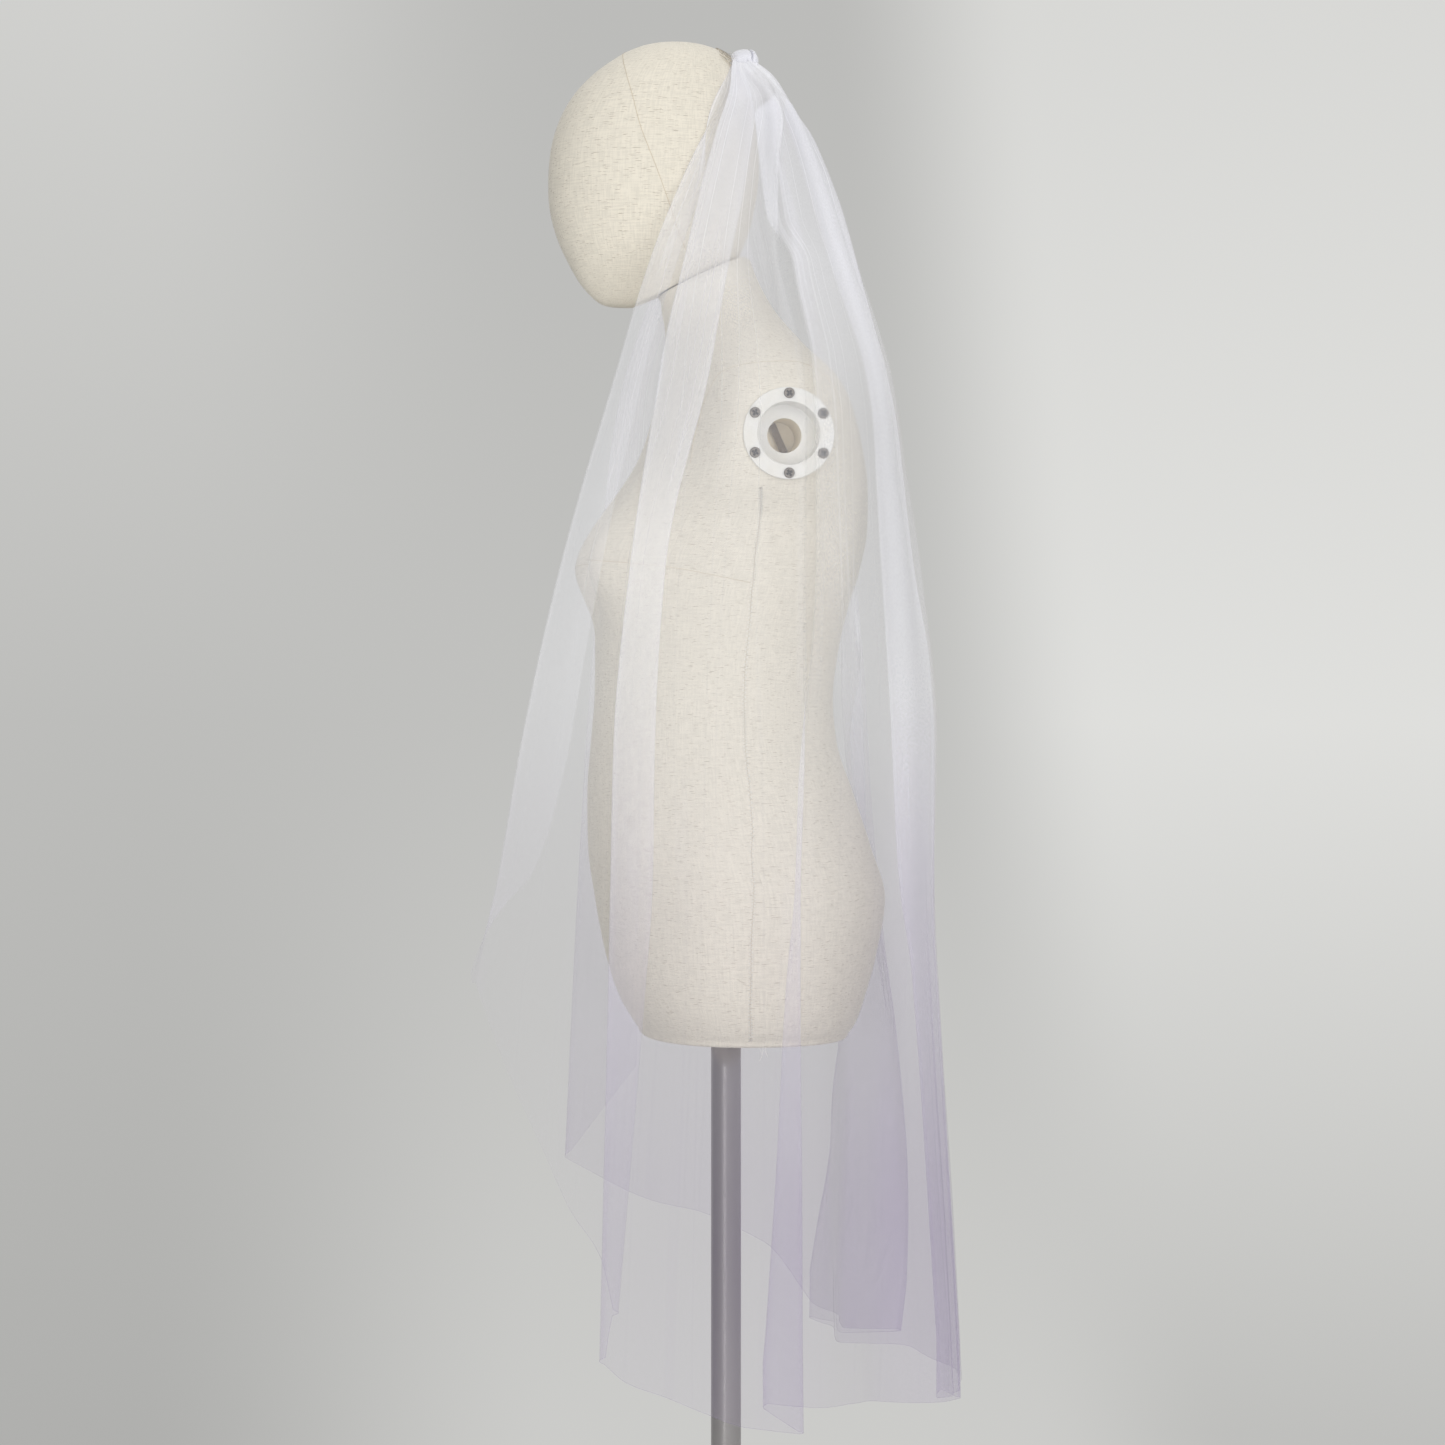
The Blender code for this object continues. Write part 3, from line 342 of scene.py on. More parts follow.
SOFT_FADES = (1.69, 1.60)

# The cloth's stretches from its near front edge round the back: how many columns each has,
# how far it leans from one layer to the next, how much of the fullness below it shows, and
# the hem's height by the share of its width
Stretch = namedtuple("Stretch", "name columns slope weight hem")
STRETCHES = (
    Stretch("near flap", 12, 0.5, 0.6, ((0.0, 0.880), (1.0, 0.872))),
    Stretch(
        "near front", 44, 0.0, 1.0,
        ((0.0, 0.872), (0.32, 0.789), (0.52, 0.739), (0.72, 0.685), (0.91, 0.646), (1.0, 0.604)),
    ),
    Stretch("band", 14, 0.5, 1.0, ((0.0, 0.600), (1.0, 0.566))),
    Stretch(
        "near side", 84, 0.0, 1.0,
        ((0.0, 0.561), (0.10, 0.547), (0.31, 0.534), (0.48, 0.522), (0.68, 0.510), (1.0, 0.505)),
    ),
    Stretch("strip", 12, -0.5, 1.0, ((0.0, 0.506), (1.0, 0.522))),
    Stretch("back", 70, 0.0, 1.0, ((0.0, 0.528), (0.45, 0.517), (0.80, 0.507), (1.0, 0.505))),
    Stretch("back fold", 14, -0.5, 0.3, ((0.0, 0.506), (1.0, 0.516))),
    Stretch("far back", 90, 0.0, 0.75, ((0.0, 0.508), (0.30, 0.500), (0.70, 0.506), (1.0, 0.512))),
    Stretch("pleat", 24, 0.5, 0.4, ((0.0, 0.513), (1.0, 0.516))),
    Stretch(
        "far front", 90, 0.0, 1.0,
        ((0.0, 0.518), (0.38, 0.524), (0.54, 0.585), (0.70, 0.612), (0.83, 0.628), (1.0, 0.671)),
    ),
    Stretch("far flap", 16, -0.5, 1.0, ((0.0, 0.680), (1.0, 0.760))),
)

# Share of the cloth's width, how much of the gathers' fullness lies there near the comb, and
# how many more layers hang there below
FULLNESS_PLACES = (0.0, 0.10, 0.20, 0.30, 0.42, 0.50, 0.60, 0.72, 0.82, 1.0)
TOP_FULLNESS = (0.30, 0.35, 0.60, 0.85, 1.25, 1.35, 1.30, 1.00, 0.60, 0.35)
BACK_FULLNESS = (0.0, 0.0, 0.0, 0.30, 1.2, 1.3, 0.9, 0.6, 0.1, 0.0)

# Seams of the form as (height, turn round the torso in degrees: 0 at the left side, 90 at
# the back), and on the head as (ring angle from the crown, turn)
SIDE_SEAM = (
    (1.290, -4.8), (1.270, -2.6), (1.240, -1.1), (1.2106, 0.6), (1.1595, 4.0), (1.1009, 4.9),
    (1.0717, 4.6), (1.0115, 1.4), (0.9583, -1.9), (0.9158, -4.2), (0.862, -4.9), (0.8175, -6.0),
)
BUST_SEAM = (
    (1.2345, -84.0), (1.233, -68.0), (1.2286, -45.7), (1.2239, -30.3), (1.2175, -15.2), (1.2106, 0.1),
)
ARMHOLE_SEAM = (
    (1.3117, -42.2), (1.3335, -44.9), (1.359, -43.4), (1.3888, -33.1), (1.3957, -18.0), (1.3984, -1.4),
    (1.3994, 13.7), (1.3925, 29.3), (1.384, 34.4), (1.3723, 35.9), (1.350, 36.5),
)
HEAD_SEAM = (
    (24.0, -80.0), (34.3, -53.0), (46.0, -35.0), (59.3, -22.5), (78.1, -12.0), (95.5, -2.4),
    (106.2, 3.7), (121.7, 12.5), (134.7, 24.5),
)


# Numbers


def column(table, name):
    """One named column of a table whose first row holds the names."""
    return np.array([row[table[0].index(name)] for row in table[1:]], float)


def eased(xs, ys, x):
    """A smooth curve through (xs, ys) that never overshoots its points (monotone cubic)."""
    xs = np.asarray(xs, float)
    ys = np.asarray(ys, float)
    if xs[0] > xs[-1]:
        xs, ys = xs[::-1], ys[::-1]
    step = np.diff(xs)
    slope = np.diff(ys) / step
    inner = np.zeros(len(xs))
    same = slope[:-1] * slope[1:] > 0
    weight_a = 2 * step[1:] + step[:-1]
    weight_b = step[1:] + 2 * step[:-1]
    safe_a = np.where(same, slope[:-1], 1.0)
    safe_b = np.where(same, slope[1:], 1.0)
    mean = (weight_a + weight_b) / (weight_a / safe_a + weight_b / safe_b)
    inner[1:-1] = np.where(same, mean, 0.0)
    inner[0] = slope[0]
    inner[-1] = slope[-1]
    x = np.clip(x, xs[0], xs[-1])
    i = np.clip(np.searchsorted(xs, x, side="right") - 1, 0, len(step) - 1)
    h = step[i]
    t = (x - xs[i]) / h
    return (
        ys[i] * (1 + 2 * t) * (1 - t) ** 2
        + ys[i + 1] * t**2 * (3 - 2 * t)
        + inner[i] * h * t * (1 - t) ** 2
        - inner[i + 1] * h * t**2 * (1 - t)
    )


def sections(table, at, *names):
    """The named columns of a table, each eased along the table's first column."""
    marks = column(table, table[0][0])
    return [eased(marks, column(table, name), at) for name in names]


def smooth_step(low, high, x):
    """Rises from 0 at low to 1 at high as 3 t^2 - 2 t^3; it falls where low is above high."""
    t = np.clip((x - low) / (high - low), 0, 1)
    return t * t * (3 - 2 * t)


def unit(vectors):
    """Vectors over their own lengths."""
    return vectors / np.maximum(np.linalg.norm(vectors, axis=-1, keepdims=True), 1e-12)


def joined(*parts):
    """Arrays side by side, as the last axis of one array."""
    return np.stack(np.broadcast_arrays(*parts), -1)


def circle(steps):
    """Angles once round, in even steps."""
    return np.linspace(0, 2 * math.pi, steps, endpoint=False)


# Meshes


def store(mesh, key, numbers):
    """Puts a named number on each point."""
    stored = mesh.attributes.new(key, "FLOAT", "POINT")
    stored.data.foreach_set("value", np.ascontiguousarray(numbers, np.float32).ravel())


def lay_flat(mesh, uv):
    """Gives each point its place on the flat cloth, as a UV map read at the faces' corners."""
    corners = np.empty(len(mesh.loops), np.int32)
    mesh.loops.foreach_get("vertex_index", corners)
    layer = mesh.uv_layers.new(name="flat")
    layer.data.foreach_set("uv", np.ascontiguousarray(uv[corners], np.float32).ravel())


def mesh_of(name, points, quads, uv=None, values=None):
    """A smooth object from flat arrays of points and four-cornered faces, with each point's
    place on the flat cloth and its named numbers where they are given."""
    mesh = bpy.data.meshes.new(name)
    mesh.vertices.add(len(points))
    mesh.vertices.foreach_set("co", np.ascontiguousarray(points, np.float32).ravel())
    mesh.loops.add(quads.size)
    mesh.loops.foreach_set("vertex_index", np.ascontiguousarray(quads, np.int32).ravel())
    mesh.polygons.add(len(quads))
    mesh.polygons.foreach_set("loop_start", np.arange(len(quads), dtype=np.int32) * quads.shape[1])
    mesh.polygons.foreach_set("use_smooth", np.ones(len(quads), bool))
    if uv is not None:
        lay_flat(mesh, uv)
    for key, numbers in (values or {}).items():
        store(mesh, key, numbers)
    mesh.update(calc_edges=True)
    mesh.validate()
    obj = bpy.data.objects.new(name, mesh)
    bpy.context.scene.collection.objects.link(obj)
    return obj


def grid_quads(rows, columns, closed=False):
    """Quads over a grid whose points run row by row; closed joins each row's end to its start."""
    index = np.arange(rows * columns).reshape(rows, columns)
    if closed:
        index = np.hstack([index, index[:, :1]])
    return np.stack([index[:-1, :-1], index[:-1, 1:], index[1:, 1:], index[1:, :-1]], -1).reshape(-1, 4)


def surface(name, points, closed=False, uv=None, values=None, keep=None):
    """A grid of points (rows, columns, 3) as one smooth surface. keep drops faces by a mask
    over the grid's cells."""
    quads = grid_quads(*points.shape[:2], closed)
    if keep is not None:
        quads = quads[keep.ravel()]
    flat_uv = None if uv is None else uv.reshape(-1, 2)
    return mesh_of(name, points.reshape(-1, 3), quads, flat_uv, values)


def turned(profile, steps, centre=(0, 0, 0), axis="Z"):
    """A profile of (radius, height) turned about an axis through centre: ring angle a gives
    radius * (cos a, sin a) across the axis."""
    profile = np.asarray(profile, float)
    a = circle(steps)[None, :]
    r, h = profile[:, :1], profile[:, 1:2]
    across, up, along = r * np.cos(a), r * np.sin(a), h + 0 * a
    order = {"Z": (across, up, along), "X": (along, across, up), "-X": (-along, -across, up)}[axis]
    return np.stack(order, -1) + np.asarray(centre, float)


def rounded(profile, radius, steps=5):
    """The profile with each inner corner replaced by an arc-like curve: between the points a
    radius before and after the corner it follows a quadratic through the corner."""
    points = np.asarray(profile, float)
    made = [points[:1]]
    t = np.linspace(0, 1, steps)[:, None]
    for before, corner, after in zip(points, points[1:], points[2:]):
        back, on = before - corner, after - corner
        reach = min(radius, 0.45 * np.linalg.norm(back), 0.45 * np.linalg.norm(on))
        start = corner + unit(back) * reach
        end = corner + unit(on) * reach
        made.append(start * (1 - t) ** 2 + 2 * corner * t * (1 - t) + end * t**2)
    made.append(points[-1:])
    return np.concatenate(made)


def tubes(name, paths, radii, sides=6, closed=False, across=TUBE_ACROSS):
    """One mesh of round tubes. paths is (tubes, points, 3) and radii (tubes, points): each
    ring stands across its path's direction, built from a fixed side vector."""
    paths = np.asarray(paths, float)
    radii = np.broadcast_to(np.asarray(radii, float), paths.shape[:2])
    if closed:
        ahead = unit(np.roll(paths, -1, 1) - np.roll(paths, 1, 1))
    else:
        ahead = unit(np.gradient(paths, axis=1))
    side = unit(np.cross(ahead, np.broadcast_to(np.asarray(across, float), ahead.shape)))
    up = np.cross(side, ahead)
    a = circle(sides)
    ring = side[..., None, :] * np.cos(a)[:, None] + up[..., None, :] * np.sin(a)[:, None]
    points = paths[..., None, :] + ring * radii[..., None, None]
    if not closed:
        ends = paths[:, [0, -1]][:, :, None, :].repeat(sides, axis=2)
        near_ends = ends + (points[:, [0, -1]] - ends) * POLE_SHARE
        points = np.concatenate([near_ends[:, :1], points, near_ends[:, 1:]], axis=1)
    count, length = points.shape[:2]
    quads = grid_quads(length, sides, True)
    if closed:
        last = (length - 1) * sides + np.arange(sides)
        first = np.arange(sides)
        seam = np.stack([last, np.roll(last, -1), np.roll(first, -1), first], -1)
        quads = np.concatenate([quads, seam])
    every = (quads[None] + (np.arange(count) * length * sides)[:, None, None]).reshape(-1, 4)
    return outward(mesh_of(name, points.reshape(-1, 3), every))


def capped_grid(points):
    """A grid of rings with each end drawn almost to a point, so the poles close."""
    first = points[:1].mean(axis=1, keepdims=True)
    last = points[-1:].mean(axis=1, keepdims=True)
    ends = first + (points[:1] - first) * POLE_SHARE, last + (points[-1:] - last) * POLE_SHARE
    return np.concatenate([ends[0], points, ends[1]])


def outward(obj):
    """Turns a mesh's faces to point out, after its doubles are merged."""
    bm = bmesh.new()
    bm.from_mesh(obj.data)
    bmesh.ops.remove_doubles(bm, verts=bm.verts, dist=1e-7)
    bmesh.ops.recalc_face_normals(bm, faces=bm.faces)
    bm.to_mesh(obj.data)
    bm.free()
    return obj


def outward_open(obj):
    """Turns an open turned wall so that its faces look along the side of the X axis that they
    are seen from."""
    outward(obj)
    polygons = obj.data.polygons
    normals, centres = np.empty((2, len(polygons) * 3), np.float32)
    polygons.foreach_get("normal", normals)
    polygons.foreach_get("center", centres)
    outermost = 3 * np.argmax(np.abs(centres[::3]))
    if normals[outermost] * centres[outermost] < 0:
        obj.data.flip_normals()
    return obj


def ready(obj, finish, slot, *nodes):
    """Gives a piece its material and its body and hides the solids it stands for; its slot is not used."""
    if not obj.data.polygons:
        raise RuntimeError(f"{obj.name} has no faces")
    obj.data.materials.clear()
    obj.data.materials.append(finish)
    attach(obj, "root")
    if nodes:
        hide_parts(*nodes)
    return obj


# Materials


def rgba(colour, scale=1.0):
    """A colour made lighter or darker, with full alpha."""
    return (*(min(1.0, c * scale) for c in colour), 1.0)


class Nodes:
    """A node tree with a short name for each kind of node that the finishes use."""

    def __init__(self, tree):
        self.tree = tree

    def put(self, socket, value):
        """Gives a socket a value, or links another node's socket to it."""
        if isinstance(value, bpy.types.NodeSocket):
            self.tree.links.new(value, socket)
        else:
            socket.default_value = value

    def new(self, kind, inputs=None, **settings):
        """A shader node with its settings and its inputs, each a value or another node's socket."""
        made = self.tree.nodes.new("ShaderNode" + kind)
        for key, value in settings.items():
            setattr(made, key, value)
        for key, value in (inputs or {}).items():
            self.put(made.inputs[key], value)
        return made

    def maths(self, operation, a, b=0.0):
        return self.new("Math", {0: a, 1: b}, operation=operation).outputs[0]

    def plus(self, a, b):
        return self.maths("ADD", a, b)

    def times(self, a, b):
        return self.maths("MULTIPLY", a, b)

    def ranged(self, value, low, high, to_low=0.0, to_high=1.0, way="LINEAR"):
        """A value carried from one range to another and held at its ends."""
        inputs = {0: value, 1: low, 2: high, 3: to_low, 4: to_high}
        return self.new("MapRange", inputs, interpolation_type=way).outputs[0]

    def blend(self, share, a, b):
        """Colour a turned into colour b by a share."""
        return self.new("Mix", {0: share, 6: a, 7: b}, data_type="RGBA").outputs[2]

    def blend_numbers(self, share, a, b):
        return self.new("Mix", {0: share, 2: a, 3: b}).outputs[0]

    def split(self, vector):
        return self.new("SeparateXYZ", {0: vector}).outputs

    def scaled(self, colour, scale):
        return self.new("VectorMath", {0: colour[:], "Scale": scale}, operation="SCALE").outputs[0]

    def number(self, name):
        """A piece's own named number."""
        return self.new("Attribute", attribute_name=name).outputs["Fac"]


class Finish(Nodes):
    """A material under way, laid out on the piece's flat cloth or in its own space."""

    def __init__(self, name, flat=False):
        self.made = bpy.data.materials.new(name)
        self.made.use_nodes = True
        super().__init__(self.made.node_tree)
        self.shader = self.tree.nodes["Principled BSDF"]
        if flat:
            self.place = self.new("UVMap", uv_map="flat").outputs[0]
        else:
            self.place = self.new("TexCoord").outputs["Object"]

    def noise(self, scale, detail=2.0, rotation=(0, 0, 0)):
        """Noise whose grain is one unit long after the place is scaled."""
        inputs = {"Vector": self.place, "Scale": scale, "Rotation": rotation}
        place = self.new("Mapping", inputs).outputs[0]
        grain = self.new("TexNoise", {"Vector": place, "Scale": 1.0, "Detail": detail})
        return grain.outputs["Fac"]

    def done(self, height=None, strength=0.0, distance=0.0, **inputs):
        """Sets the shader's inputs, a bump among them, and gives the material."""
        if height is not None:
            bump = self.new("Bump", {"Height": height, "Strength": strength, "Distance": distance})
            inputs["Normal"] = bump.outputs[0]
        for key, value in inputs.items():
            self.put(self.shader.inputs[key.replace("_", " ")], value)
        return self.made


def linen_finish(name, colour):
    """Plain-woven slubby linen: crossed threads as a product of two sines, lighter and darker
    lanes, thick slubs both ways, stray hairs and faint mottling."""
    made = Finish(name, flat=True)
    around, up = made.split(made.place)[:2]
    thread = 2 * math.pi / LINEN_PITCH
    weft, warp = (made.maths("SINE", made.times(way, thread)) for way in (up, around))
    weave = made.times(weft, warp)
    uneven = made.maths("SUBTRACT", made.noise((700, 700, 1), 3.0), 0.5)
    slubs_along = made.ranged(made.noise((75, 1500, 1), 1.0), 0.64, 0.78)
    slubs_up = made.ranged(made.noise((1500, 70, 1), 1.0), 0.65, 0.79)
    slubs = made.maths("MAXIMUM", slubs_along, made.times(slubs_up, 0.8))
    lanes = made.times(made.plus(made.noise((60, 620, 1)), made.noise((620, 60, 1))), 0.5)
    mottle = made.ranged(made.noise((14, 14, 1), 3.0), 0.3, 0.7, 0.0, 0.35)
    hairs = made.maths("MAXIMUM", *(
        made.ranged(made.noise((scale, 1900, 1), 0.0, (0, 0, lean)), 0.745, 0.79)
        for scale, lean in ((120, 0.5), (140, -0.9))
    ))
    base = made.blend(made.ranged(lanes, 0.42, 0.58), rgba(colour, 0.91), rgba(colour, 1.03))
    base = made.blend(mottle, base, rgba(LINEN_MOTTLE))
    base = made.blend(made.times(slubs, 0.06), base, rgba(LINEN_SLUB))
    base = made.blend(made.times(hairs, 0.75), base, rgba(LINEN_HAIR))
    height = made.plus(made.times(weave, 0.35), made.times(uneven, 0.5))
    height = made.plus(height, made.times(slubs, 0.9))
    return made.done(
        height, 0.35, 0.00025, Base_Color=base, Roughness=made.ranged(uneven, -0.3, 0.3, 0.78, 0.94),
        Sheen_Weight=0.25, Sheen_Roughness=0.5, Specular_IOR_Level=0.25,
    )


def thread_finish(name, colour):
    """Spun thread: a fine slanting twist with small changes of tone."""
    made = Finish(name)
    twist = made.noise((900, 900, 2600), 2.0, (0.6, 0.2, 0.4))
    base = made.blend(twist, rgba(colour, 0.82), rgba(colour, 1.08))
    rough = made.ranged(twist, 0.3, 0.7, 0.6, 0.8)
    return made.done(twist, 0.5, 0.0001, Base_Color=base, Roughness=rough)


def plastic_finish(name, colour):
    """Moulded plastic: a fine eggshell grain, slight yellowing and rubbed patches."""
    made = Finish(name)
    grain = made.noise((2600, 2600, 2600))
    patches = made.noise((55, 55, 55), 4.0)
    yellowed = rgba([c * share for c, share in zip(colour, YELLOWING)])
    base = made.blend(made.ranged(patches, 0.35, 0.7), rgba(colour), yellowed)
    rough = made.ranged(patches, 0.3, 0.7, 0.34, 0.48)
    return made.done(grain, 0.25, 0.0001, Base_Color=base, Roughness=rough, Specular_IOR_Level=0.5)


def metal_finish(name, colour, grain, rough=(0.26, 0.42)):
    """Brushed metal: grain drawn out along the brushing, with faint dull spots, and a painted
    shade, near black, where the piece's "recess" number is high."""
    made = Finish(name)
    lines = made.noise(grain, 3.0)
    spots = made.ranged(made.noise((70, 70, 70), 4.0), 0.62, 0.80, 0.0, 0.35)
    base = made.blend(lines, rgba(colour, 0.80), rgba(colour, 1.18))
    base = made.blend(spots, base, rgba(METAL_SPOTS))
    # Painted shade: near black in the screws' cross recesses and round their heads' rims
    base = made.blend(made.times(made.number("recess"), 0.92), base, rgba(METAL_RECESS_SHADE))
    rough = made.ranged(lines, 0.3, 0.7, *rough)
    return made.done(lines, 0.12, 0.0001, Base_Color=base, Roughness=rough, Metallic=1.0)


def tulle_finish(name, white, lilac):
    """Fine net: white, dyed lilac towards the hem by the piece's own height; the share of
    thread in each spot is the piece's "cover" number, broken up by the net's holes, and where
    the cloth is gathered thin bright lines run down it, as ridges of a noise drawn out along
    the drop. A faint glow in the net's own tint is painted light that lifts its shade."""
    made = Finish(name, flat=True)
    cover, gathered = made.number("cover"), made.number("gathered")
    blotches = made.maths("SUBTRACT", made.noise((9, 14, 1), 3.0), 0.5)
    level = made.plus(made.number("dye_height"), made.times(blotches, 0.08))
    dye = made.maths("POWER", made.ranged(level, *DYE_FADES), DYE_POWER)
    tint = made.blend(dye, rgba(white), rgba(lilac))
    grain = made.noise((420, 420, 1))
    open_share = made.ranged(grain, 0.3, 0.7, 0.92, 1.08)
    across, down = made.split(made.place)[:2]
    step = 2 * math.pi / NET_PITCH
    for lean in (0.0, math.pi / 3, -math.pi / 3):
        way = made.plus(made.times(across, step * math.cos(lean)), made.times(down, step * math.sin(lean)))
        open_share = made.plus(open_share, made.times(made.maths("SINE", way), 0.04))
    drawn = made.maths("ABSOLUTE", made.maths("SUBTRACT", made.noise((24, 0.7, 1), 1.0), 0.5))
    ridge = made.times(made.ranged(drawn, 0.016, 0.0), made.plus(gathered, 0.10))
    share = made.plus(made.times(cover, open_share), made.times(ridge, 0.18))
    # The emission in the net's own tint is painted light: a faint glow that lifts the net's shade.
    return made.done(
        grain, 0.12, 0.0003, Base_Color=tint, Emission_Color=tint, Emission_Strength=0.08,
        Alpha=made.maths("MINIMUM", share, 1.0), Roughness=made.ranged(grain, 0.3, 0.7, 0.55, 0.72),
        Sheen_Weight=0.3, Specular_IOR_Level=0.3,
    )


def floor_finish(name, colour):
    """Matt paint with faint, wide changes of tone."""
    made = Finish(name)
    soft = made.noise((3, 3, 3))
    base = made.blend(soft, rgba(colour, 0.98), rgba(colour, 1.02))
    return made.done(Base_Color=base, Roughness=made.ranged(soft, 0.3, 0.7, 0.6, 0.75))


# The form


def seat(y):
    """The height of the neck's seat at Y."""
    return SEAT_FRONT[1] + SEAT_SLOPE * (y - SEAT_FRONT[0])


def torso_points(angle, z):
    """The torso's surface: an oval x = a*c^(2/p), y = middle -+ depth*s^(2/p) at each height,
    two smooth bumps for the breasts, flat sides at the arm plates, and rings that lean into
    the head's seat above the shoulders."""
    front, back, half_width, power = sections(TORSO_SECTIONS, z, "front", "back", "half_width", "power")
    across, along = np.cos(angle), np.sin(angle)
    x = half_width * np.sign(across) * np.abs(across) ** (2 / power)
    middle = (front + back) / 2
    y = middle + (back - front) / 2 * np.sign(along) * np.abs(along) ** (2 / power)
    bump = np.exp(-(((np.abs(x) - BREAST_SIDE) / BREAST_WIDTH) ** 2))
    rise = BREAST_RISE * np.where(z > BUST_HEIGHT, 1.15, 0.85)
    bump = bump * np.exp(-(((z - BUST_HEIGHT) / rise) ** 2))
    y = y - BREAST_DEPTH * bump * smooth_step(0.0, 0.8, -along)
    x = np.clip(x, -PLATE_FACE, PLATE_FACE)
    lean = smooth_step(*LEAN_HEIGHTS, z) * SEAT_SLOPE
    return joined(x, y, z + lean * (y - SEAT_FRONT[0]))


def torso_normals(angle, z):
    """The torso's outward directions, from the slopes round it and up it."""
    step = 1e-4
    around = torso_points(angle + step, z) - torso_points(angle - step, z)
    up = torso_points(angle, z + step) - torso_points(angle, z - step)
    return unit(np.cross(around, up))


def along_marks(marks, count):
    """A smooth line through marks of (height or ring, degrees), as its two columns."""
    marks = np.array(marks, float)
    at = np.linspace(0, 1, len(marks))
    along = np.linspace(0, 1, count)
    return eased(at, marks[:, 0], along), np.radians(eased(at, marks[:, 1], along))


def torso_line(marks, side, count):
    """A line on the torso through its marks, with the outward directions there; side -1
    mirrors it to the right side."""
    z, turn = along_marks(marks, count)
    if side < 0:
        turn = math.pi - turn
    return torso_points(turn, z), torso_normals(turn, z)


def zigzag(line, normals, width):
    """A zig-zag along a line on a surface: every second point steps to the other side."""
    ahead = unit(np.gradient(line, axis=0))
    across = unit(np.cross(normals, ahead))
    sign = np.where(np.arange(len(line)) % 2 == 0, 1.0, -1.0)[:, None]
    return line + across * sign * width / 2


def head_rings(degrees):
    """For each angle from the crown, the ring's middle, its size as sin(t) to a power, and
    its height."""
    ring = np.radians(degrees)
    size = np.maximum(np.sin(ring), 0.0) ** HEAD_FULLNESS
    z = (HEAD_TOP + HEAD_CHIN) / 2 + (HEAD_TOP - HEAD_CHIN) / 2 * np.cos(ring)
    return sections(HEAD_SECTIONS, degrees, "middle")[0], size, z


def head_points(ring, longitude):
    """The egg: its rings, each with its own share of the width; what falls below the neck's
    seat is laid on it."""
    degrees = np.degrees(ring)
    middle, size, z = head_rings(degrees)
    share = sections(HEAD_SECTIONS, degrees, "width_share")[0]
    x = HEAD_HALF_WIDTH * share * size * np.cos(longitude)
    y = middle + HEAD_HALF_DEPTH * size * np.sin(longitude)
    return joined(x, y, np.maximum(z, seat(y) + NECK_GAP))


def head_top(x, y):
    """The height of the head's upper surface over (x, y), found from the crown down as the
    ring whose oval passes through the point."""
    middle, size, z = head_rings(np.linspace(0.5, 90, 1500))
    x = np.asarray(x, float)[..., None]
    y = np.asarray(y, float)[..., None]
    inside = (x / (HEAD_HALF_WIDTH * size)) ** 2 + ((y - middle) / (HEAD_HALF_DEPTH * size)) ** 2 <= 1
    return z[np.argmax(inside, axis=-1)]


def over_head(x, y, lift):
    """The height over (x, y) that lies a lift away from the head, measured square to it."""
    step = 0.001
    slope_x = (head_top(x + step, y) - head_top(x - step, y)) / (2 * step)
    slope_y = (head_top(x, y + step) - head_top(x, y - step)) / (2 * step)
    return head_top(x, y) + lift * np.sqrt(1 + slope_x**2 + slope_y**2)


def torso_rows():
    """The cover's rings: from the middle of the underside, round the rolled edge, up the
    body, and in over the neck's seat."""
    turn = circle(192)[None, :]
    edge = TORSO_BOTTOM + TORSO_ROLL
    body = torso_points(turn, np.linspace(edge, LEAN_HEIGHTS[1], 200)[:, None])
    body = body[body[:, :, 2].max(axis=1) < SEAT_BACK[1] - NECK_EDGE]
    hem = torso_points(turn, np.full((1, 1), edge))
    centre = np.array(UNDERSIDE_MIDDLE)
    t = np.linspace(1, 0, 5)[:-1, None, None] * math.pi / 2
    roll = hem - (hem - centre) * [TORSO_INSET, TORSO_INSET, 0] * (1 - np.cos(t))
    roll[..., 2] = TORSO_BOTTOM + TORSO_ROLL * (1 - np.sin(t[..., 0]))
    under = centre + (roll[:1] - centre) * np.array(UNDERSIDE_RINGS)[:, None, None]
    under[..., 2] = TORSO_BOTTOM
    middle = (SEAT_FRONT[0] + SEAT_BACK[0]) / 2
    y = middle + (SEAT_BACK[0] - SEAT_FRONT[0]) / 2 * np.sin(turn)
    rim = np.stack([NECK_TOP_HALF_WIDTH * np.cos(turn), y, seat(y) - NECK_GAP], -1)
    neck_middle = np.array([0, middle, seat(middle) - NECK_GAP])
    top = neck_middle + (rim - neck_middle) * np.array(NECK_RINGS)[:, None, None]
    return np.concatenate([under, roll, body, top])


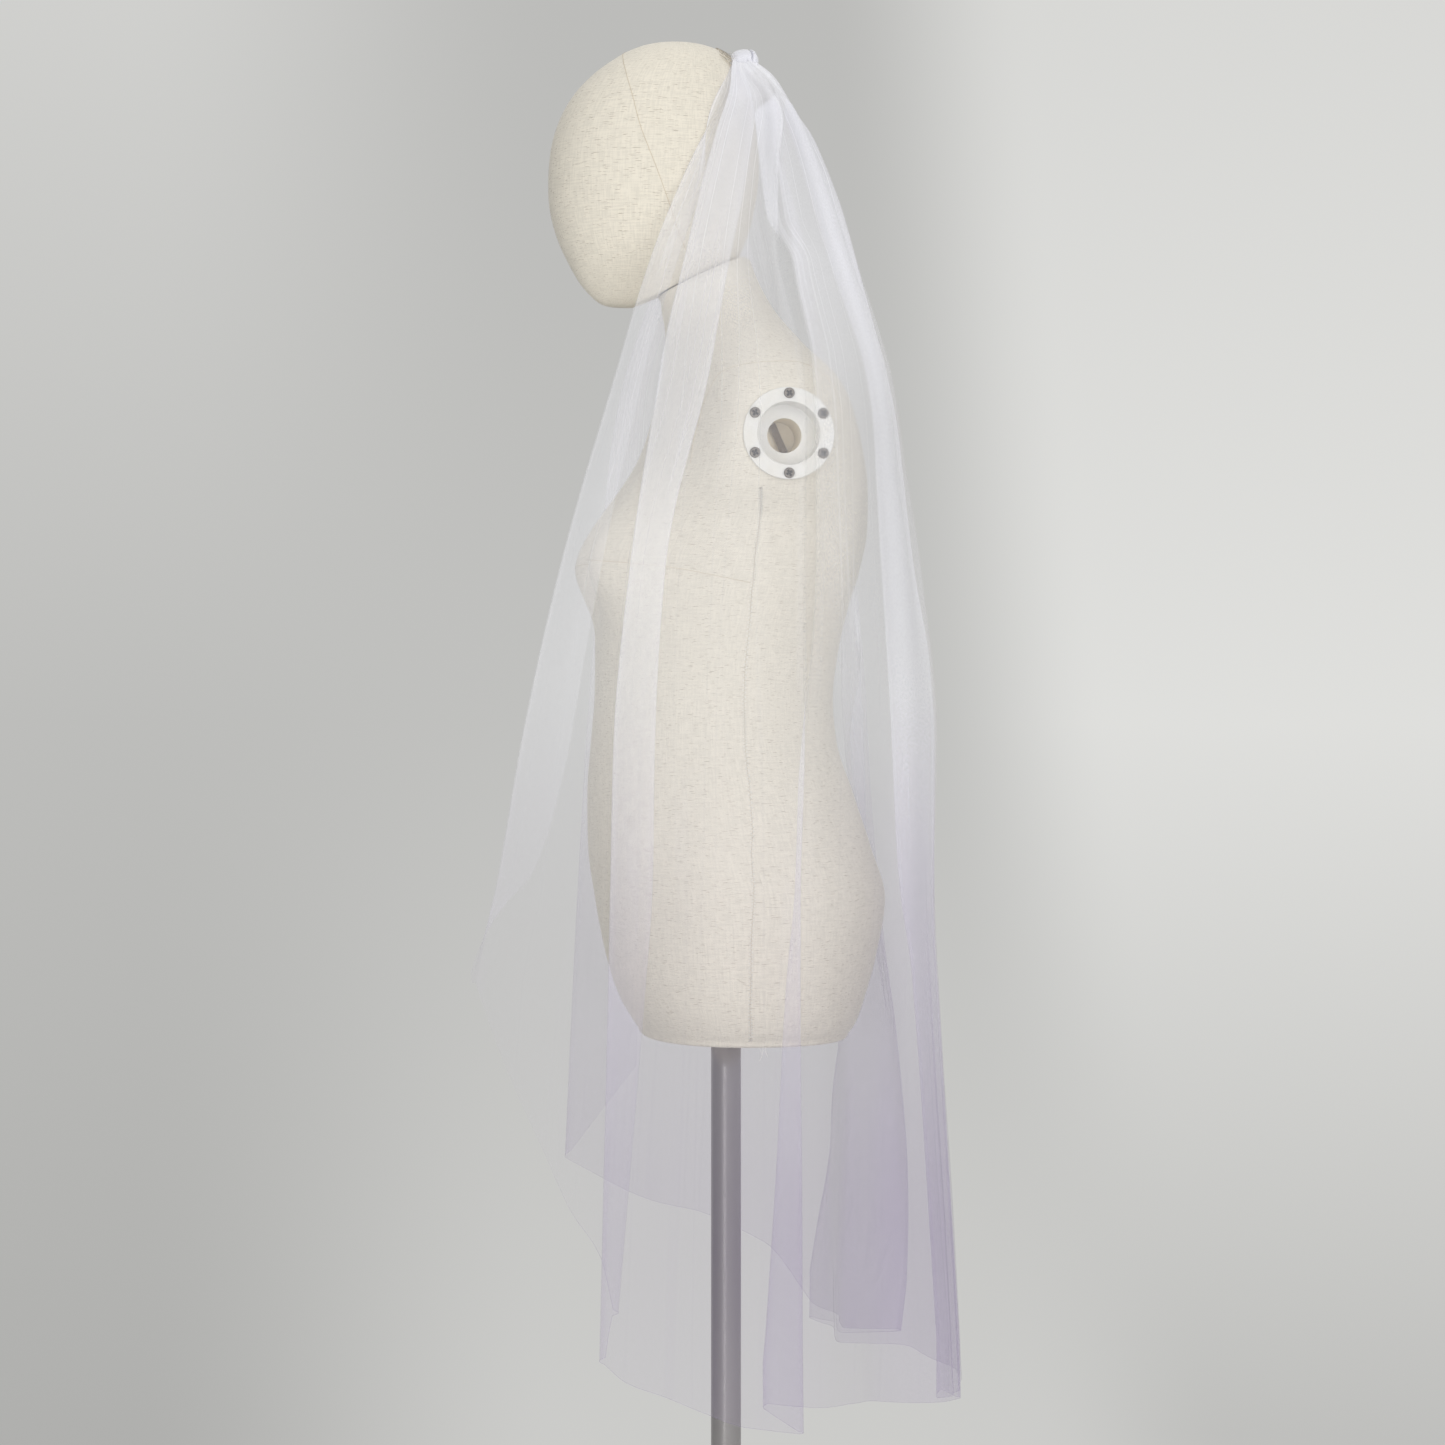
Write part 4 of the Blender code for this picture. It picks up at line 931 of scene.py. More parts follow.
def make_torso(linen, thread, crease, settings):
    """The linen cover, open at the arm sockets, with its seams and the side seams' zig-zag."""
    rows = torso_rows()
    gaps = np.linalg.norm(np.diff(rows, axis=0), axis=-1).mean(axis=1)
    height = np.concatenate([[0], np.cumsum(gaps)])[:, None]
    around = np.linspace(0, 1, rows.shape[1] + 1)[None, :] * TORSO_GIRTH
    rows = np.concatenate([rows, rows[:, :1]], axis=1)
    cells = (rows[:-1, :-1] + rows[1:, 1:]) / 2
    away = np.hypot(cells[..., 1] - PLATE_Y, cells[..., 2] - PLATE_Z)
    keep = ~((np.abs(cells[..., 0]) > SIDE_FROM) & (away < SOCKET_HOLE))
    cover = surface("torso_cover", rows, uv=joined(around, height), keep=keep)
    ready(cover, linen, "linen", "form_torso", "form_arm_block_left", "form_arm_block_right")
    seams = [
        (marks, *torso_line(marks, side, count)) for side in (1, -1)
        for marks, count in ((SIDE_SEAM, 320), (BUST_SEAM, 120), (ARMHOLE_SEAM, 160))
    ]
    for i, (marks, line, normals) in enumerate(seams):
        # The seam lines take the darker crease colour: painted shade in the groove along each seam
        ready(tubes(f"form_seam_{i + 1}", [line - normals * SEAM_SINK], SEAM_RADIUS), crease, "linen")
    side_seams = [(line, normals) for marks, line, normals in seams if marks is SIDE_SEAM]
    for i, (line, normals) in enumerate(side_seams):
        path = zigzag(line + normals * STITCH_LIFT, normals, settings.zigzag_width)
        stitches = tubes(f"side_seam_stitches_{i + 1}", [path], settings.stitch_thickness / 2, 5)
        ready(stitches, thread, "linen")


def make_frayed_ends(thread):
    """Loose threads at the foot of each side seam: each hangs in a small curl."""
    t = np.linspace(0, 1, 14)[None, :]
    which = np.arange(FRAYED_ENDS)[:, None]
    side = np.where(which % 2 == 0, 1.0, -1.0)
    spread = (which - 2.5) * 0.0022
    x = side * (0.1285 + 0.003 * t * (1 + which % 3))
    y = 0.014 + spread + 0.004 * np.sin(2.2 * t + which) * t
    z = TORSO_BOTTOM + 0.006 - t * (0.010 + 0.0035 * (which % 3)) + 0.001 * np.sin(5 * t + which)
    ready(tubes("frayed_ends", joined(x, y, z), 0.00018, 5), thread, "linen")


def make_head(linen, crease):
    """The linen egg with its two side seams."""
    ring = np.linspace(HEAD_POLE, math.pi - HEAD_POLE, 150)[:, None]
    longitude = np.linspace(0, 2 * math.pi, 193)[None, :]
    uv = joined(longitude * HEAD_SPREAD[0], ring * HEAD_SPREAD[1])
    uv = np.concatenate([uv[:1], uv, uv[-1:]])
    cover = surface("head_cover", capped_grid(head_points(ring, longitude))[::-1], uv=uv[::-1])
    ready(cover, linen, "linen", "form_head")
    down, turn = along_marks(HEAD_SEAM, 240)
    down = np.radians(down)
    paths = [head_points(down, turn), head_points(down, math.pi - turn)]
    # The head's seam lines take the darker crease colour: painted shade in each seam's groove
    ready(tubes("head_seams", paths, SEAM_RADIUS), crease, "linen")


# Arm sockets


def make_socket(side, plastic, lining, screw_metal):
    """The turned flange, recess and peg tube, six cross-recess screws and the rod inside."""
    word = "left" if side > 0 else "right"
    step = -RECESS_DEPTH - 0.0008
    inside = [(0.0005, -SOCKET_DEPTH), (SOCKET_RADIUS, -SOCKET_DEPTH), (SOCKET_RADIUS, step)]
    outside = [
        (SOCKET_RADIUS, step),
        (SOCKET_RADIUS, -RECESS_DEPTH),
        (RECESS_RADIUS, -RECESS_DEPTH),
        (RECESS_RADIUS, PLATE_THICKNESS),
        (PLATE_RADIUS, PLATE_THICKNESS),
        (PLATE_RADIUS, GAP),
        (RECESS_RADIUS + CUP_WALL, GAP),
        (RECESS_RADIUS + CUP_WALL, -0.006),
    ]
    axis = "X" if side > 0 else "-X"
    centre = (side * PLATE_FACE, PLATE_Y, PLATE_Z)
    for name, profile, radius, finish, nodes in (
        ("socket_flange", outside, 0.0011, plastic, [f"arm_plate_{word}"]),
        ("socket_lining", inside, 0.0008, lining, []),
    ):
        wall = surface(f"{name}_{word}", turned(rounded(profile, radius), 120, centre, axis), closed=True)
        ready(outward_open(wall), finish, "white_plastic", *nodes)
    make_screws(side, word, screw_metal)
    make_rod(side, word, screw_metal)


def make_rod(side, word, metal):
    """The threaded rod across the socket: its radius rises and falls as a helix."""
    t = np.linspace(0, 1, 420)[:, None]
    a = circle(20)[None, :]
    groove = ROD_THREAD * np.cos(2 * math.pi * ROD_TURNS * t - a)
    r = (ROD_RADIUS - GAP + groove) * np.where((t < 0.003) | (t > 0.997), POLE_SHARE, 1.0)
    rod = joined(r * np.cos(a), r * np.sin(a), (t - 0.5) * 2 * SOCKET_RADIUS * 0.92)
    lean = math.radians(ROD_LEAN)
    c, s = math.cos(lean), math.sin(lean)
    rod = rod @ np.array([[1, 0, 0], [0, c, s], [0, -s, c]])
    rod += (side * (PLATE_FACE - ROD_DEPTH + ROD_RADIUS + GAP), PLATE_Y, PLATE_Z)
    made = outward(surface(f"threaded_rod_{word}", rod, closed=True))
    ready(made, metal, "screw_steel", f"socket_rod_{word}")


def make_screws(side, word, metal):
    """Pan-head screws: height falls off from the middle as 1 - (r/R)^4, less a cross-shaped
    recess whose arms are soft-edged and taper towards their ends."""
    share = np.linspace(0.02, 1, 22)[:, None]
    a = circle(48)[None, :]
    u, v = share * SCREW_RADIUS * np.cos(a), share * SCREW_RADIUS * np.sin(a)
    dome = SCREW_HEIGHT * (1 - 0.55 * share**4) + 0 * a
    arm = np.maximum(*(
        smooth_step(0.0011, 0.0006, np.abs(p)) * smooth_step(0.0034, 0.0022, np.abs(q))
        for p, q in ((u, v), (v, u))
    ))
    skirt = np.zeros((1, a.size))
    # The "recess" number marks where shade is painted: in the cross and round the head's rim by the plate
    recess = np.concatenate([arm + 0.55 * smooth_step(0.84, 0.97, share), skirt])
    u = np.concatenate([u, u[-1:]])
    v = np.concatenate([v, v[-1:]])
    h = np.concatenate([dome - SCREW_HEIGHT * arm + 0.0004, skirt])
    foot = side * (PLATE_FACE + PLATE_THICKNESS + GAP)
    for i in range(SCREWS):
        place = 2 * math.pi * i / SCREWS
        spin = 0.5 + 1.7 * i
        across = u * math.cos(spin) - v * math.sin(spin) + SCREW_CIRCLE * math.cos(place)
        up = u * math.sin(spin) + v * math.cos(spin) + SCREW_CIRCLE * math.sin(place)
        points = np.stack([foot + side * h, PLATE_Y + side * up, PLATE_Z - across], -1)
        screw = surface(f"cross_screw_{word}_{i + 1}", points, closed=True, values={"recess": recess})
        ready(outward_open(screw), metal, "screw_steel", f"plate_screw_{word}_{i + 1}")


# Stand


def make_stand(steel):
    """The round base with its collar, and the pole."""
    base = [
        (0.0005, BASE_THICKNESS),
        (POLE_RADIUS + 0.0004, BASE_THICKNESS),
        (POLE_RADIUS + 0.0004, COLLAR_TOP),
        (COLLAR_RADIUS, COLLAR_TOP),
        (COLLAR_RADIUS, BASE_THICKNESS + 0.0035),
        (COLLAR_RADIUS + 0.0035, BASE_THICKNESS),
        (BASE_RADIUS, BASE_THICKNESS),
        (BASE_RADIUS, 0.0),
        (0.0005, 0.0),
    ]
    plate = outward(surface("base_plate", turned(rounded(base, 0.0028, 7), 160), closed=True))
    ready(plate, steel, "brushed_steel", "stand_base")
    height = np.linspace(BASE_THICKNESS + 0.0005, TORSO_BOTTOM - 0.0002, 24)
    radius = np.full(24, POLE_RADIUS)
    end = POLE_RADIUS - 0.001
    pole = np.stack([[end, *radius, end], [height[0], *height, height[-1]]], -1)
    tube = outward(surface("pole_tube", capped_grid(turned(pole, 96)), closed=True))
    ready(tube, steel, "brushed_steel", "stand_pole")


# Comb and heading


def make_comb(metal, thread, thickness):
    """A round spine with tapered teeth laid over the crown, and the thread that binds the
    heading to the spine in small loops."""
    half = COMB_LENGTH / 2
    x = np.linspace(-half, half, 90)
    spine = joined(x, COMB_Y, over_head(x, COMB_Y + 0 * x, SPINE_LIFT))
    ready(tubes("comb_spine", [spine], SPINE_RADIUS, 12, across=(0, 0, 1)), metal, "comb_metal", "comb")
    tooth_x = np.linspace(-half + SPINE_RADIUS, half - SPINE_RADIUS, COMB_TEETH)[:, None]
    t = np.linspace(0, 1, 22)[None, :]
    tooth_x, tooth_y = np.broadcast_arrays(tooth_x, COMB_Y - t * (TOOTH_LENGTH + 0.002))
    teeth = np.stack([tooth_x, tooth_y, over_head(tooth_x, tooth_y, 0.0012)], -1)
    ready(tubes("comb_teeth", teeth, 0.0007 * (1 - 0.6 * t**3), 8), metal, "comb_metal")
    loop_x = np.linspace(-half + 0.004, half - 0.004, BINDING_LOOPS)[:, None]
    a = circle(14)[None, :]
    middle = over_head(loop_x + 0 * a, COMB_Y + 0 * (loop_x + a), SPINE_LIFT)
    loop_z = np.maximum(middle + 0.00125 * np.sin(a), middle - 0.0010)
    loops = joined(loop_x + 0.0007 * np.sin(a), COMB_Y + 0.0016 * np.cos(a), loop_z)
    binding = tubes("comb_binding", loops, thickness / 2, 5, closed=True, across=(1, 0.2, 0))
    ready(binding, thread, "tulle")


def stadium(half_length, radius, share):
    """A point and outward direction on a long oval with straight sides and round ends, at a
    share of the way round it."""
    straight = 2 * half_length
    bend = math.pi * radius
    walked = (share % 1.0) * 2 * (straight + bend)
    on_back = walked < straight + bend
    way = np.where(on_back, walked, walked - straight - bend)
    sign = np.where(on_back, 1.0, -1.0)
    turn = np.clip((way - straight) / radius, 0, math.pi)
    x = half_length - np.minimum(way, straight) - radius * np.sin(turn)
    y = radius * np.cos(turn)
    return sign * x, sign * y, sign * -np.sin(turn), sign * np.cos(turn)


def heading_foot(x, y):
    """The heading's foot: its height over the comb, falling evenly behind it."""
    return over_head(x, COMB_Y + 0 * y, HEADING_LIFT) - HEADING_FALL * np.maximum(y - COMB_Y, 0)


def gathered_dome(radius, waves, phase, height, size):
    """One layer of the gathered heading: from its foot it rises as sin(u) and draws in as
    cos(u) to a ridge over the comb, u from 0 to 90 degrees, crossed by uneven gathers that
    are widest half way up. Gives its points and their places on the flat cloth."""
    share = np.linspace(0, 1, 420)[None, :]
    t = np.linspace(0, 1, 18)[:, None]
    u = t * math.pi / 2
    x, y, out_x, out_y = stadium(HEADING_HALF_LENGTH, radius, share)
    around = 2 * math.pi * share
    uneven = around + 0.05 * np.sin(3 * around + phase) + 0.03 * np.sin(5 * around + 2 * phase)
    wave = np.sin(waves * uneven + phase) + 0.45 * np.sin((2 * waves + 3) * uneven + 1.3 * phase)
    out = -radius * RIDGE_CLOSES * (1 - np.cos(u)) + size * wave * (0.25 + np.sin(2 * u))
    tall = 1 + 0.08 * np.sin(2 * around + 0.4 + phase) + 0.05 * np.sin(9 * around + phase)
    foot = heading_foot(x, HEADING_MIDDLE + y * (1 - t))
    points = joined(
        x + out_x * out,
        HEADING_MIDDLE + y + out_y * out + DOME_LEAN * t,
        foot + height * np.sin(u) * tall,
    )
    return points, joined(0.6 * share, 1.2 + 0.012 * t)


def make_heading(tulle, thread, thickness):
    """Three nested layers of gathers, drawn up on two rows of running stitches."""
    made = []
    for i, (radius, waves, phase, rise, size) in enumerate(HEADING_LAYERS[1:]):
        points, uv = gathered_dome(radius, waves, phase, HEADING_RISE * rise, size)
        values = {
            key: np.full(points.shape[:2], number)
            for key, number in (("cover", HEADING_COVER), ("dye_height", 1.2), ("gathered", 1.0))
        }
        layer = surface(f"heading_gathers_{i + 1}", points, uv=uv, values=values)
        made.append(ready(layer, tulle, "tulle", *(("veil_heading",) if i == 0 else ())))
    share = np.linspace(0, 1, STITCHES + 1)[:-1, None] + np.linspace(0, STITCH_SHARE, 7)[None, :]
    x, y, out_x, out_y = stadium(HEADING_HALF_LENGTH, STITCH_ROW_RADIUS, share)
    bow = 0.0003 * np.sin(np.linspace(0, math.pi, 7))[None, :]
    for row, lift in enumerate(STITCH_ROW_LIFTS):
        z = heading_foot(x, HEADING_MIDDLE + y) + lift
        paths = np.stack([x + out_x * bow, HEADING_MIDDLE + y + out_y * bow, z], -1)
        stitches = tubes(f"gathering_stitches_{row + 1}", paths, thickness / 2, 5)
        made.append(ready(stitches, thread, "tulle"))
    return made


# Veil


def oval(z, angle):
    """A point of the veil's oval at height z and angle (0 at the front, 180 at the back,
    through the near side) and the oval's outward direction there."""
    half_width, middle, front, back = sections(
        VEIL_SECTIONS, z, "half_width", "middle", "front_depth", "back_depth"
    )
    turn = np.radians(angle)
    across, along = np.sin(turn), -np.cos(turn)
    depth = np.where(along < 0, front, back)
    x = half_width * np.sign(across) * np.abs(across) ** SIDE_FULLNESS
    y = middle + depth * along
    out_x, out_y = across * depth, along * half_width
    length = np.hypot(out_x, out_y)
    return x, y, out_x / length, out_y / length


def line_angle(name, side, z):
    """The angle round the oval where a line of the table lies at height z: the one at which
    the oval's near or far side passes the line's Y."""
    row = next(row for row in EDGE_LINES if row[:2] == (name, side))
    y = eased(LINE_HEIGHTS, row[2:], z)
    middle, front, back = sections(VEIL_SECTIONS, z, "middle", "front_depth", "back_depth")
    depth = np.where(y < middle, front, back)
    turn = np.degrees(np.arccos(np.clip((middle - y) / depth, -1, 1)))
    return turn if side == "near" else 360 - turn


def side_step(z, length):
    """The angle that a length of cloth takes up, from the oval's mean radius."""
    half_width, front, back = sections(VEIL_SECTIONS, z, "half_width", "front_depth", "back_depth")
    return np.degrees(length / ((2 * half_width + front + back) / 4))


def gather_wave(z, angle):
    """The gathers: uneven waves, even at the comb, that fade below the shoulder, and beside
    the back a closer set that rises where the first one is shallow."""
    turn = np.radians(angle)
    drift = turn + 0.10 * np.sin(3 * turn + 0.8) + 0.05 * np.sin(7 * turn)
    size = eased(GATHER_HEIGHTS, GATHER_SIZES, z)
    wave = np.sin(GATHERS * drift) * (0.75 + 0.25 * np.sin(2 * turn + 1.1))
    behind = smooth_step(95, 150, angle) * smooth_step(285, 225, angle)
    close = np.sin(31 * drift + 1.9 * np.sin(2 * turn)) * (0.6 + 0.4 * np.sin(5 * turn + 0.5))
    return size * (wave + 0.7 * behind * close)


def soft_folds(z, angle):
    """The sum of the soft folds, each a smooth bump (1 + cos) / 2 about its own line."""
    total = np.zeros(np.broadcast(z, angle).shape)
    for comb, waist, hem, half_width, *depths in SOFT_FOLDS:
        line = eased(SOFT_LINE_HEIGHTS, (hem, waist, comb), z)
        away = np.clip((angle - line) / half_width, -1, 1)
        total = total + eased(SOFT_HEIGHTS, depths, z) * (1 + np.cos(math.pi * away)) / 2
    return total * smooth_step(*SOFT_FADES, z)


def stretch_ends(z):
    """For each stretch of the cloth, the angles where it starts and ends at height z, and
    its layer. Where a fold has not begun yet its two lines are pulled apart."""
    spare = side_step(z, eased(SPARE_HEIGHTS, SPARE_LENGTHS, z))

    def flap(widths, opens):
        open_share = eased(FLAP_OPEN_HEIGHTS, opens, z)
        return side_step(z, eased(FLAP_HEIGHTS, widths, z)) * (1 - 2 * open_share)

    def fold_end(front_line, back_line, open_share):
        return front_line * (1 - open_share) + (back_line + spare) * open_share

    near = {name: line_angle(name, side, z) for name, side, *_ in EDGE_LINES if side == "near"}
    far = {name: line_angle(name, side, z) for name, side, *_ in EDGE_LINES if side == "far"}
    top_open = smooth_step(*TOP_OPENS, z)
    strip_open = smooth_step(*STRIP_OPENS, z) * (1 - smooth_step(*STRIP_CLOSES, z))
    strip_end = fold_end(near["strip front"], near["strip back"], np.maximum(strip_open, top_open))
    back_end = fold_end(near["fold front"], near["fold back"], top_open)
    pleat_end = fold_end(far["pleat front"], far["pleat back"], smooth_step(*PLEAT_OPENS, z))
    near_front, far_front = near["front fold"], far["front fold"]
    return {
        "near flap": (near_front + flap(NEAR_FLAP, NEAR_FLAP_OPEN), near_front, -0.25),
        "near front": (near_front, near["band back"], 1),
        "band": (near["band back"], near["band front"], 2),
        "near side": (near["band front"], near["strip back"], 3),
        "strip": (near["strip back"], strip_end, 2),
        "back": (strip_end, near["fold back"], 1),
        "back fold": (near["fold back"], back_end, 0),
        "far back": (back_end, far["pleat back"], -1),
        "pleat": (far["pleat back"], pleat_end, 0),
        "far front": (pleat_end, far_front, 1),
        "far flap": (far_front, far_front - flap(FAR_FLAP, FAR_FLAP_OPEN), -0.25),
    }


def hem_height(stretch, share):
    """The hem's height at a share of a stretch's width."""
    shares, heights = zip(*stretch.hem)
    return eased(shares, heights, share)


def lifted(z, angle, layer):
    """Points of the cloth: on the oval, moved out by the layer, the gathers and the soft
    folds, and sagging at the two ends of the comb."""
    x, y, out_x, out_y = oval(z, angle)
    out = layer * eased(LAYER_HEIGHTS, LAYER_PITCHES, z) + gather_wave(z, angle) + soft_folds(z, angle)
    sag = END_SAG * np.abs(np.sin(np.radians(angle))) ** 1.5 * smooth_step(*SAG_HEIGHTS, z)
    return np.stack([x + out_x * out, y + out_y * out, z - sag], -1)


def cloth_run(stretch, following, first_one, turning):
    """One stretch of the cloth, or the turn after it, as a grid of points from the comb to the
    hem, with how near each is to a crease, from 0 to 1, and each column's weight. A stretch
    draws in from its fold lines by a turn's length, and the columns between two stretches
    swing round in half a wave."""
    last_one = following is stretch
    if turning:
        across = (np.arange(1, TURN_COLUMNS + 1) / (TURN_COLUMNS + 1))[None, :]
        hem = hem_height(stretch, np.ones_like(across)) * (1 - across)
        hem = hem + hem_height(following, np.zeros_like(across)) * across
    else:
        across = np.linspace(0, 1, stretch.columns)[None, :]
        hem = hem_height(stretch, across)
    upper = VEIL_TOP + (EVEN_DOWN_TO - VEIL_TOP) * np.linspace(0, 1, UPPER_ROWS) ** LEVEL_SPREAD
    lower = np.arange(1, LOWER_ROWS + 1) / LOWER_ROWS
    z = np.concatenate([upper[:, None] + 0 * hem, EVEN_DOWN_TO + (hem - EVEN_DOWN_TO) * lower[:, None]])
    ends = stretch_ends(z)
    turn = side_step(z, TURN)
    way, next_way = (
        np.clip((ends[name][1] - ends[name][0]) / (TURNS_TO_LIE_FLAT * turn), -1, 1)
        for name in (stretch.name, following.name)
    )
    start, end, layer = ends[stretch.name]
    first = start + turn * way * (not first_one)
    last = end - turn * way * (not last_one)
    if not turning:
        angle = first + (last - first) * across
        layer = layer + stretch.slope * (across - 0.5)
        to_start, to_end = np.abs(angle - start), np.abs(angle - end)
        near = np.minimum(to_start, to_end) / side_step(z, CREASE_REACH)
        folded = np.where(to_start < to_end, not first_one, not last_one)
        crease = np.clip(1 - near, 0, 1) * folded * 0.6
        return lifted(z, angle, layer), np.broadcast_to(crease, z.shape), stretch.weight
    swing = (1 - np.cos(math.pi * across)) / 2
    next_layer = ends[following.name][2] - following.slope / 2
    layer = (layer + stretch.slope / 2) * (1 - swing) + next_layer * swing
    bulge = (way - next_way) / 2
    angle = last * (1 - swing) + (end + turn * next_way) * swing
    angle = angle + turn * 2 * TURN_BULGE * bulge * np.sin(math.pi * across)
    crease = np.abs(bulge) * (0.6 + 0.4 * np.sin(math.pi * across))
    weight = (stretch.weight + following.weight) / 2
    return lifted(z, angle, layer), np.broadcast_to(crease, z.shape), weight


def veil_surface():
    """The cloth as a grid from its near front edge round the back to the far one, and from
    the comb to the hem: its points, how near each is to a crease, and for each column how
    full the cloth is there."""
    parts = []
    for i, stretch in enumerate(STRETCHES):
        following = STRETCHES[min(i + 1, len(STRETCHES) - 1)]
        parts.append(cloth_run(stretch, following, i == 0, False))
        if following is not stretch:
            parts.append(cloth_run(stretch, following, i == 0, True))
    points, creases, weights = zip(*parts)
    full = np.concatenate([np.full(grid.shape[1], weight) for grid, weight in zip(points, weights)])
    return np.concatenate(points, axis=1), np.concatenate(creases, axis=1), full


def collar_rows(points):
    """Rows that carry the cloth from its first row up and in to the foot of the heading, on a
    curve that leaves along the first rows' own direction."""
    top = points[0]
    half_width, depth = HEADING_HALF_LENGTH + HEADING_END_RADIUS, HEADING_END_RADIUS
    bearing = np.arctan2(top[:, 0] / TOP_OVAL[0], (top[:, 1] - TOP_MIDDLE) / TOP_OVAL[1])
    foot_x = half_width * np.sign(np.sin(bearing)) * np.abs(np.sin(bearing)) ** SIDE_FULLNESS
    foot_y = HEADING_MIDDLE + depth * np.cos(bearing)
    foot = np.stack([foot_x, foot_y, heading_foot(foot_x, foot_y) + 0.0006], -1)
    arrive = top - (points[1] - top) * 2.0
    t = np.linspace(0, 1, COLLAR_ROWS + 1)[:-1, None, None]
    return foot * (1 - t) ** 2 + 2 * t * (1 - t) * ((foot + arrive) / 2) + top * t**2


def cloth_lengths(points):
    """How far each column lies along its row of cloth, and how much wider the flat cloth is
    than the drape there: the gathers too fine to model."""
    steps = np.linalg.norm(np.diff(points, axis=1), axis=-1)
    widest = np.concatenate([[0], np.cumsum(steps[COLLAR_ROWS + UPPER_ROWS - 1])])
    share = widest / widest[-1]
    crowd = np.diff(share)[None, :] * CLOTH_WIDTH / np.maximum(steps, 1e-4)
    crowd = np.concatenate([crowd[:, :1], crowd], axis=1)
    span = 2 * CROWD_REACH + 1
    padded = np.pad(crowd, ((0, 0), (CROWD_REACH, CROWD_REACH)), mode="edge")
    smooth = sum(padded[:, k : k + crowd.shape[1]] / span for k in range(span))
    smooth = np.clip(smooth, 1.0, MOST_CROWDED)
    even = smooth_step(*EVEN_TOP, points[..., 2]) * EVEN_SHARE
    return share, smooth + (smooth.mean(axis=1, keepdims=True) - smooth) * even


def cloth_cover(points, share, crowd, crease, weight, cover):
    """How gathered the cloth is and the share of thread seen through it: one layer leaves
    1 - cover of the light, and the fine gathers, the layers behind, the creases and uneven
    streaks down the cloth add to their number."""
    z = points[..., 2]
    lanes = share[None, :] * 2 * math.pi
    streak = np.sin(16 * lanes + 1.6 * np.sin(3 * lanes + 1)) * (0.7 + 0.3 * np.sin(5 * lanes))
    gathered = np.clip((crowd - 1.0) / 2.0, 0, 1)
    low = smooth_step(1.05, 0.75, z)
    fuller = eased(FULLNESS_PLACES, BACK_FULLNESS, share)[None, :] * (0.45 + 0.55 * low)
    layers = 1 + (crowd - 1) * eased(FULLNESS_PLACES, TOP_FULLNESS, share)[None, :] + fuller
    layers = layers * (1 - (1 - weight[None, :]) * low)
    layers = layers * (1 + 0.18 * gathered * streak) + 0.5 * crease
    fading = smooth_step(1.20, 0.86, z) * smooth_step(0.16, 0.10, share)[None, :]
    layers = layers * (1 - FRONT_FADING * fading) * (1 - LOW_THINNING * smooth_step(1.00, 0.78, z))
    return gathered, 1 - (1 - cover) ** layers


def make_cut_edge(points, tulle, radius):
    """The cloth's raw edge down both fronts and along the hem, as a fine roll."""
    edge = np.concatenate([points[COLLAR_ROWS:, 0], points[-1, 1:-1], points[COLLAR_ROWS:, -1][::-1]])
    rim = tubes("veil_cut_edge", [edge], radius, 5)
    places = np.empty(len(rim.data.vertices) * 3, np.float32)
    rim.data.vertices.foreach_get("co", places)
    places = places.reshape(-1, 3)
    store(rim.data, "dye_height", places[:, 2] - DYE_FROM)
    store(rim.data, "cover", 0.03 + 0.16 * smooth_step(0.78, 0.60, places[:, 2]))
    store(rim.data, "gathered", np.zeros(len(places)))
    lay_flat(rim.data, places[:, [1, 2]])
    return ready(rim, tulle, "tulle")


def make_veil(tulle, settings):
    """The cloth as one thin sheet with its flat places, its cover and its dye, and its edge."""
    points, crease, weight = veil_surface()
    points = np.concatenate([collar_rows(points), points])
    crease = np.concatenate([np.repeat(crease[:1], COLLAR_ROWS, 0), crease])
    share, crowd = cloth_lengths(points)
    gathered, cover = cloth_cover(points, share, crowd, crease, weight, settings.cover)
    drops = np.linalg.norm(np.diff(points, axis=0), axis=-1)
    to_hem = np.concatenate([np.cumsum(drops[::-1], axis=0)[::-1], np.zeros((1, points.shape[1]))])
    values = {"cover": cover, "dye_height": points[..., 2] - DYE_FROM, "gathered": gathered}
    uv = joined(share[None, :] * CLOTH_WIDTH, to_hem)
    cloth = surface("veil_cloth", points, uv=uv, values=values)
    ready(cloth, tulle, "tulle", "veil_panel")
    make_cut_edge(points, tulle, settings.edge_thickness / 2)


# Stage


def make_wall(wall_colour):
    """The surroundings: behind the form a wall in three columns of soft shades, each from low
    to high, and elsewhere a plain room that is darker on one side. The wall's shades are
    painted light and shade, the veil's soft shadow among them."""
    world = bpy.data.worlds.new("studio")
    bpy.context.scene.world = world
    world.use_nodes = True
    made = Nodes(world.node_tree)
    x, y, z = made.split(made.new("TexCoord").outputs["Generated"])
    columns = []
    for low, middle, high in WALL_SHADES:
        lower = made.ranged(z, -WALL_REACH, 0.0, low, middle)
        columns.append(made.plus(lower, made.ranged(z, 0.0, WALL_REACH, 0.0, high - middle)))
    left, centre, right = columns
    to_centre = made.ranged(y, *TO_CENTRE, way="SMOOTHSTEP")
    to_right = made.ranged(made.plus(y, made.times(z, RIGHT_LEAN)), *TO_RIGHT, way="SMOOTHSTEP")
    # Painted light and shade on the wall, the veil's soft shadow beside its back among them
    shade = made.blend_numbers(to_right, made.blend_numbers(to_centre, left, centre), right)
    room_shade = made.ranged(y, *ROOM_SIDES, *ROOM_SHADES)
    sides = (made.scaled(wall_colour, shade), made.scaled(wall_colour, room_shade))
    mixed = made.blend(made.ranged(x, *ROOM_FROM), *sides)
    background = made.tree.nodes["Background"]
    made.put(background.inputs["Color"], mixed)
    made.put(background.inputs["Strength"], 1.0)


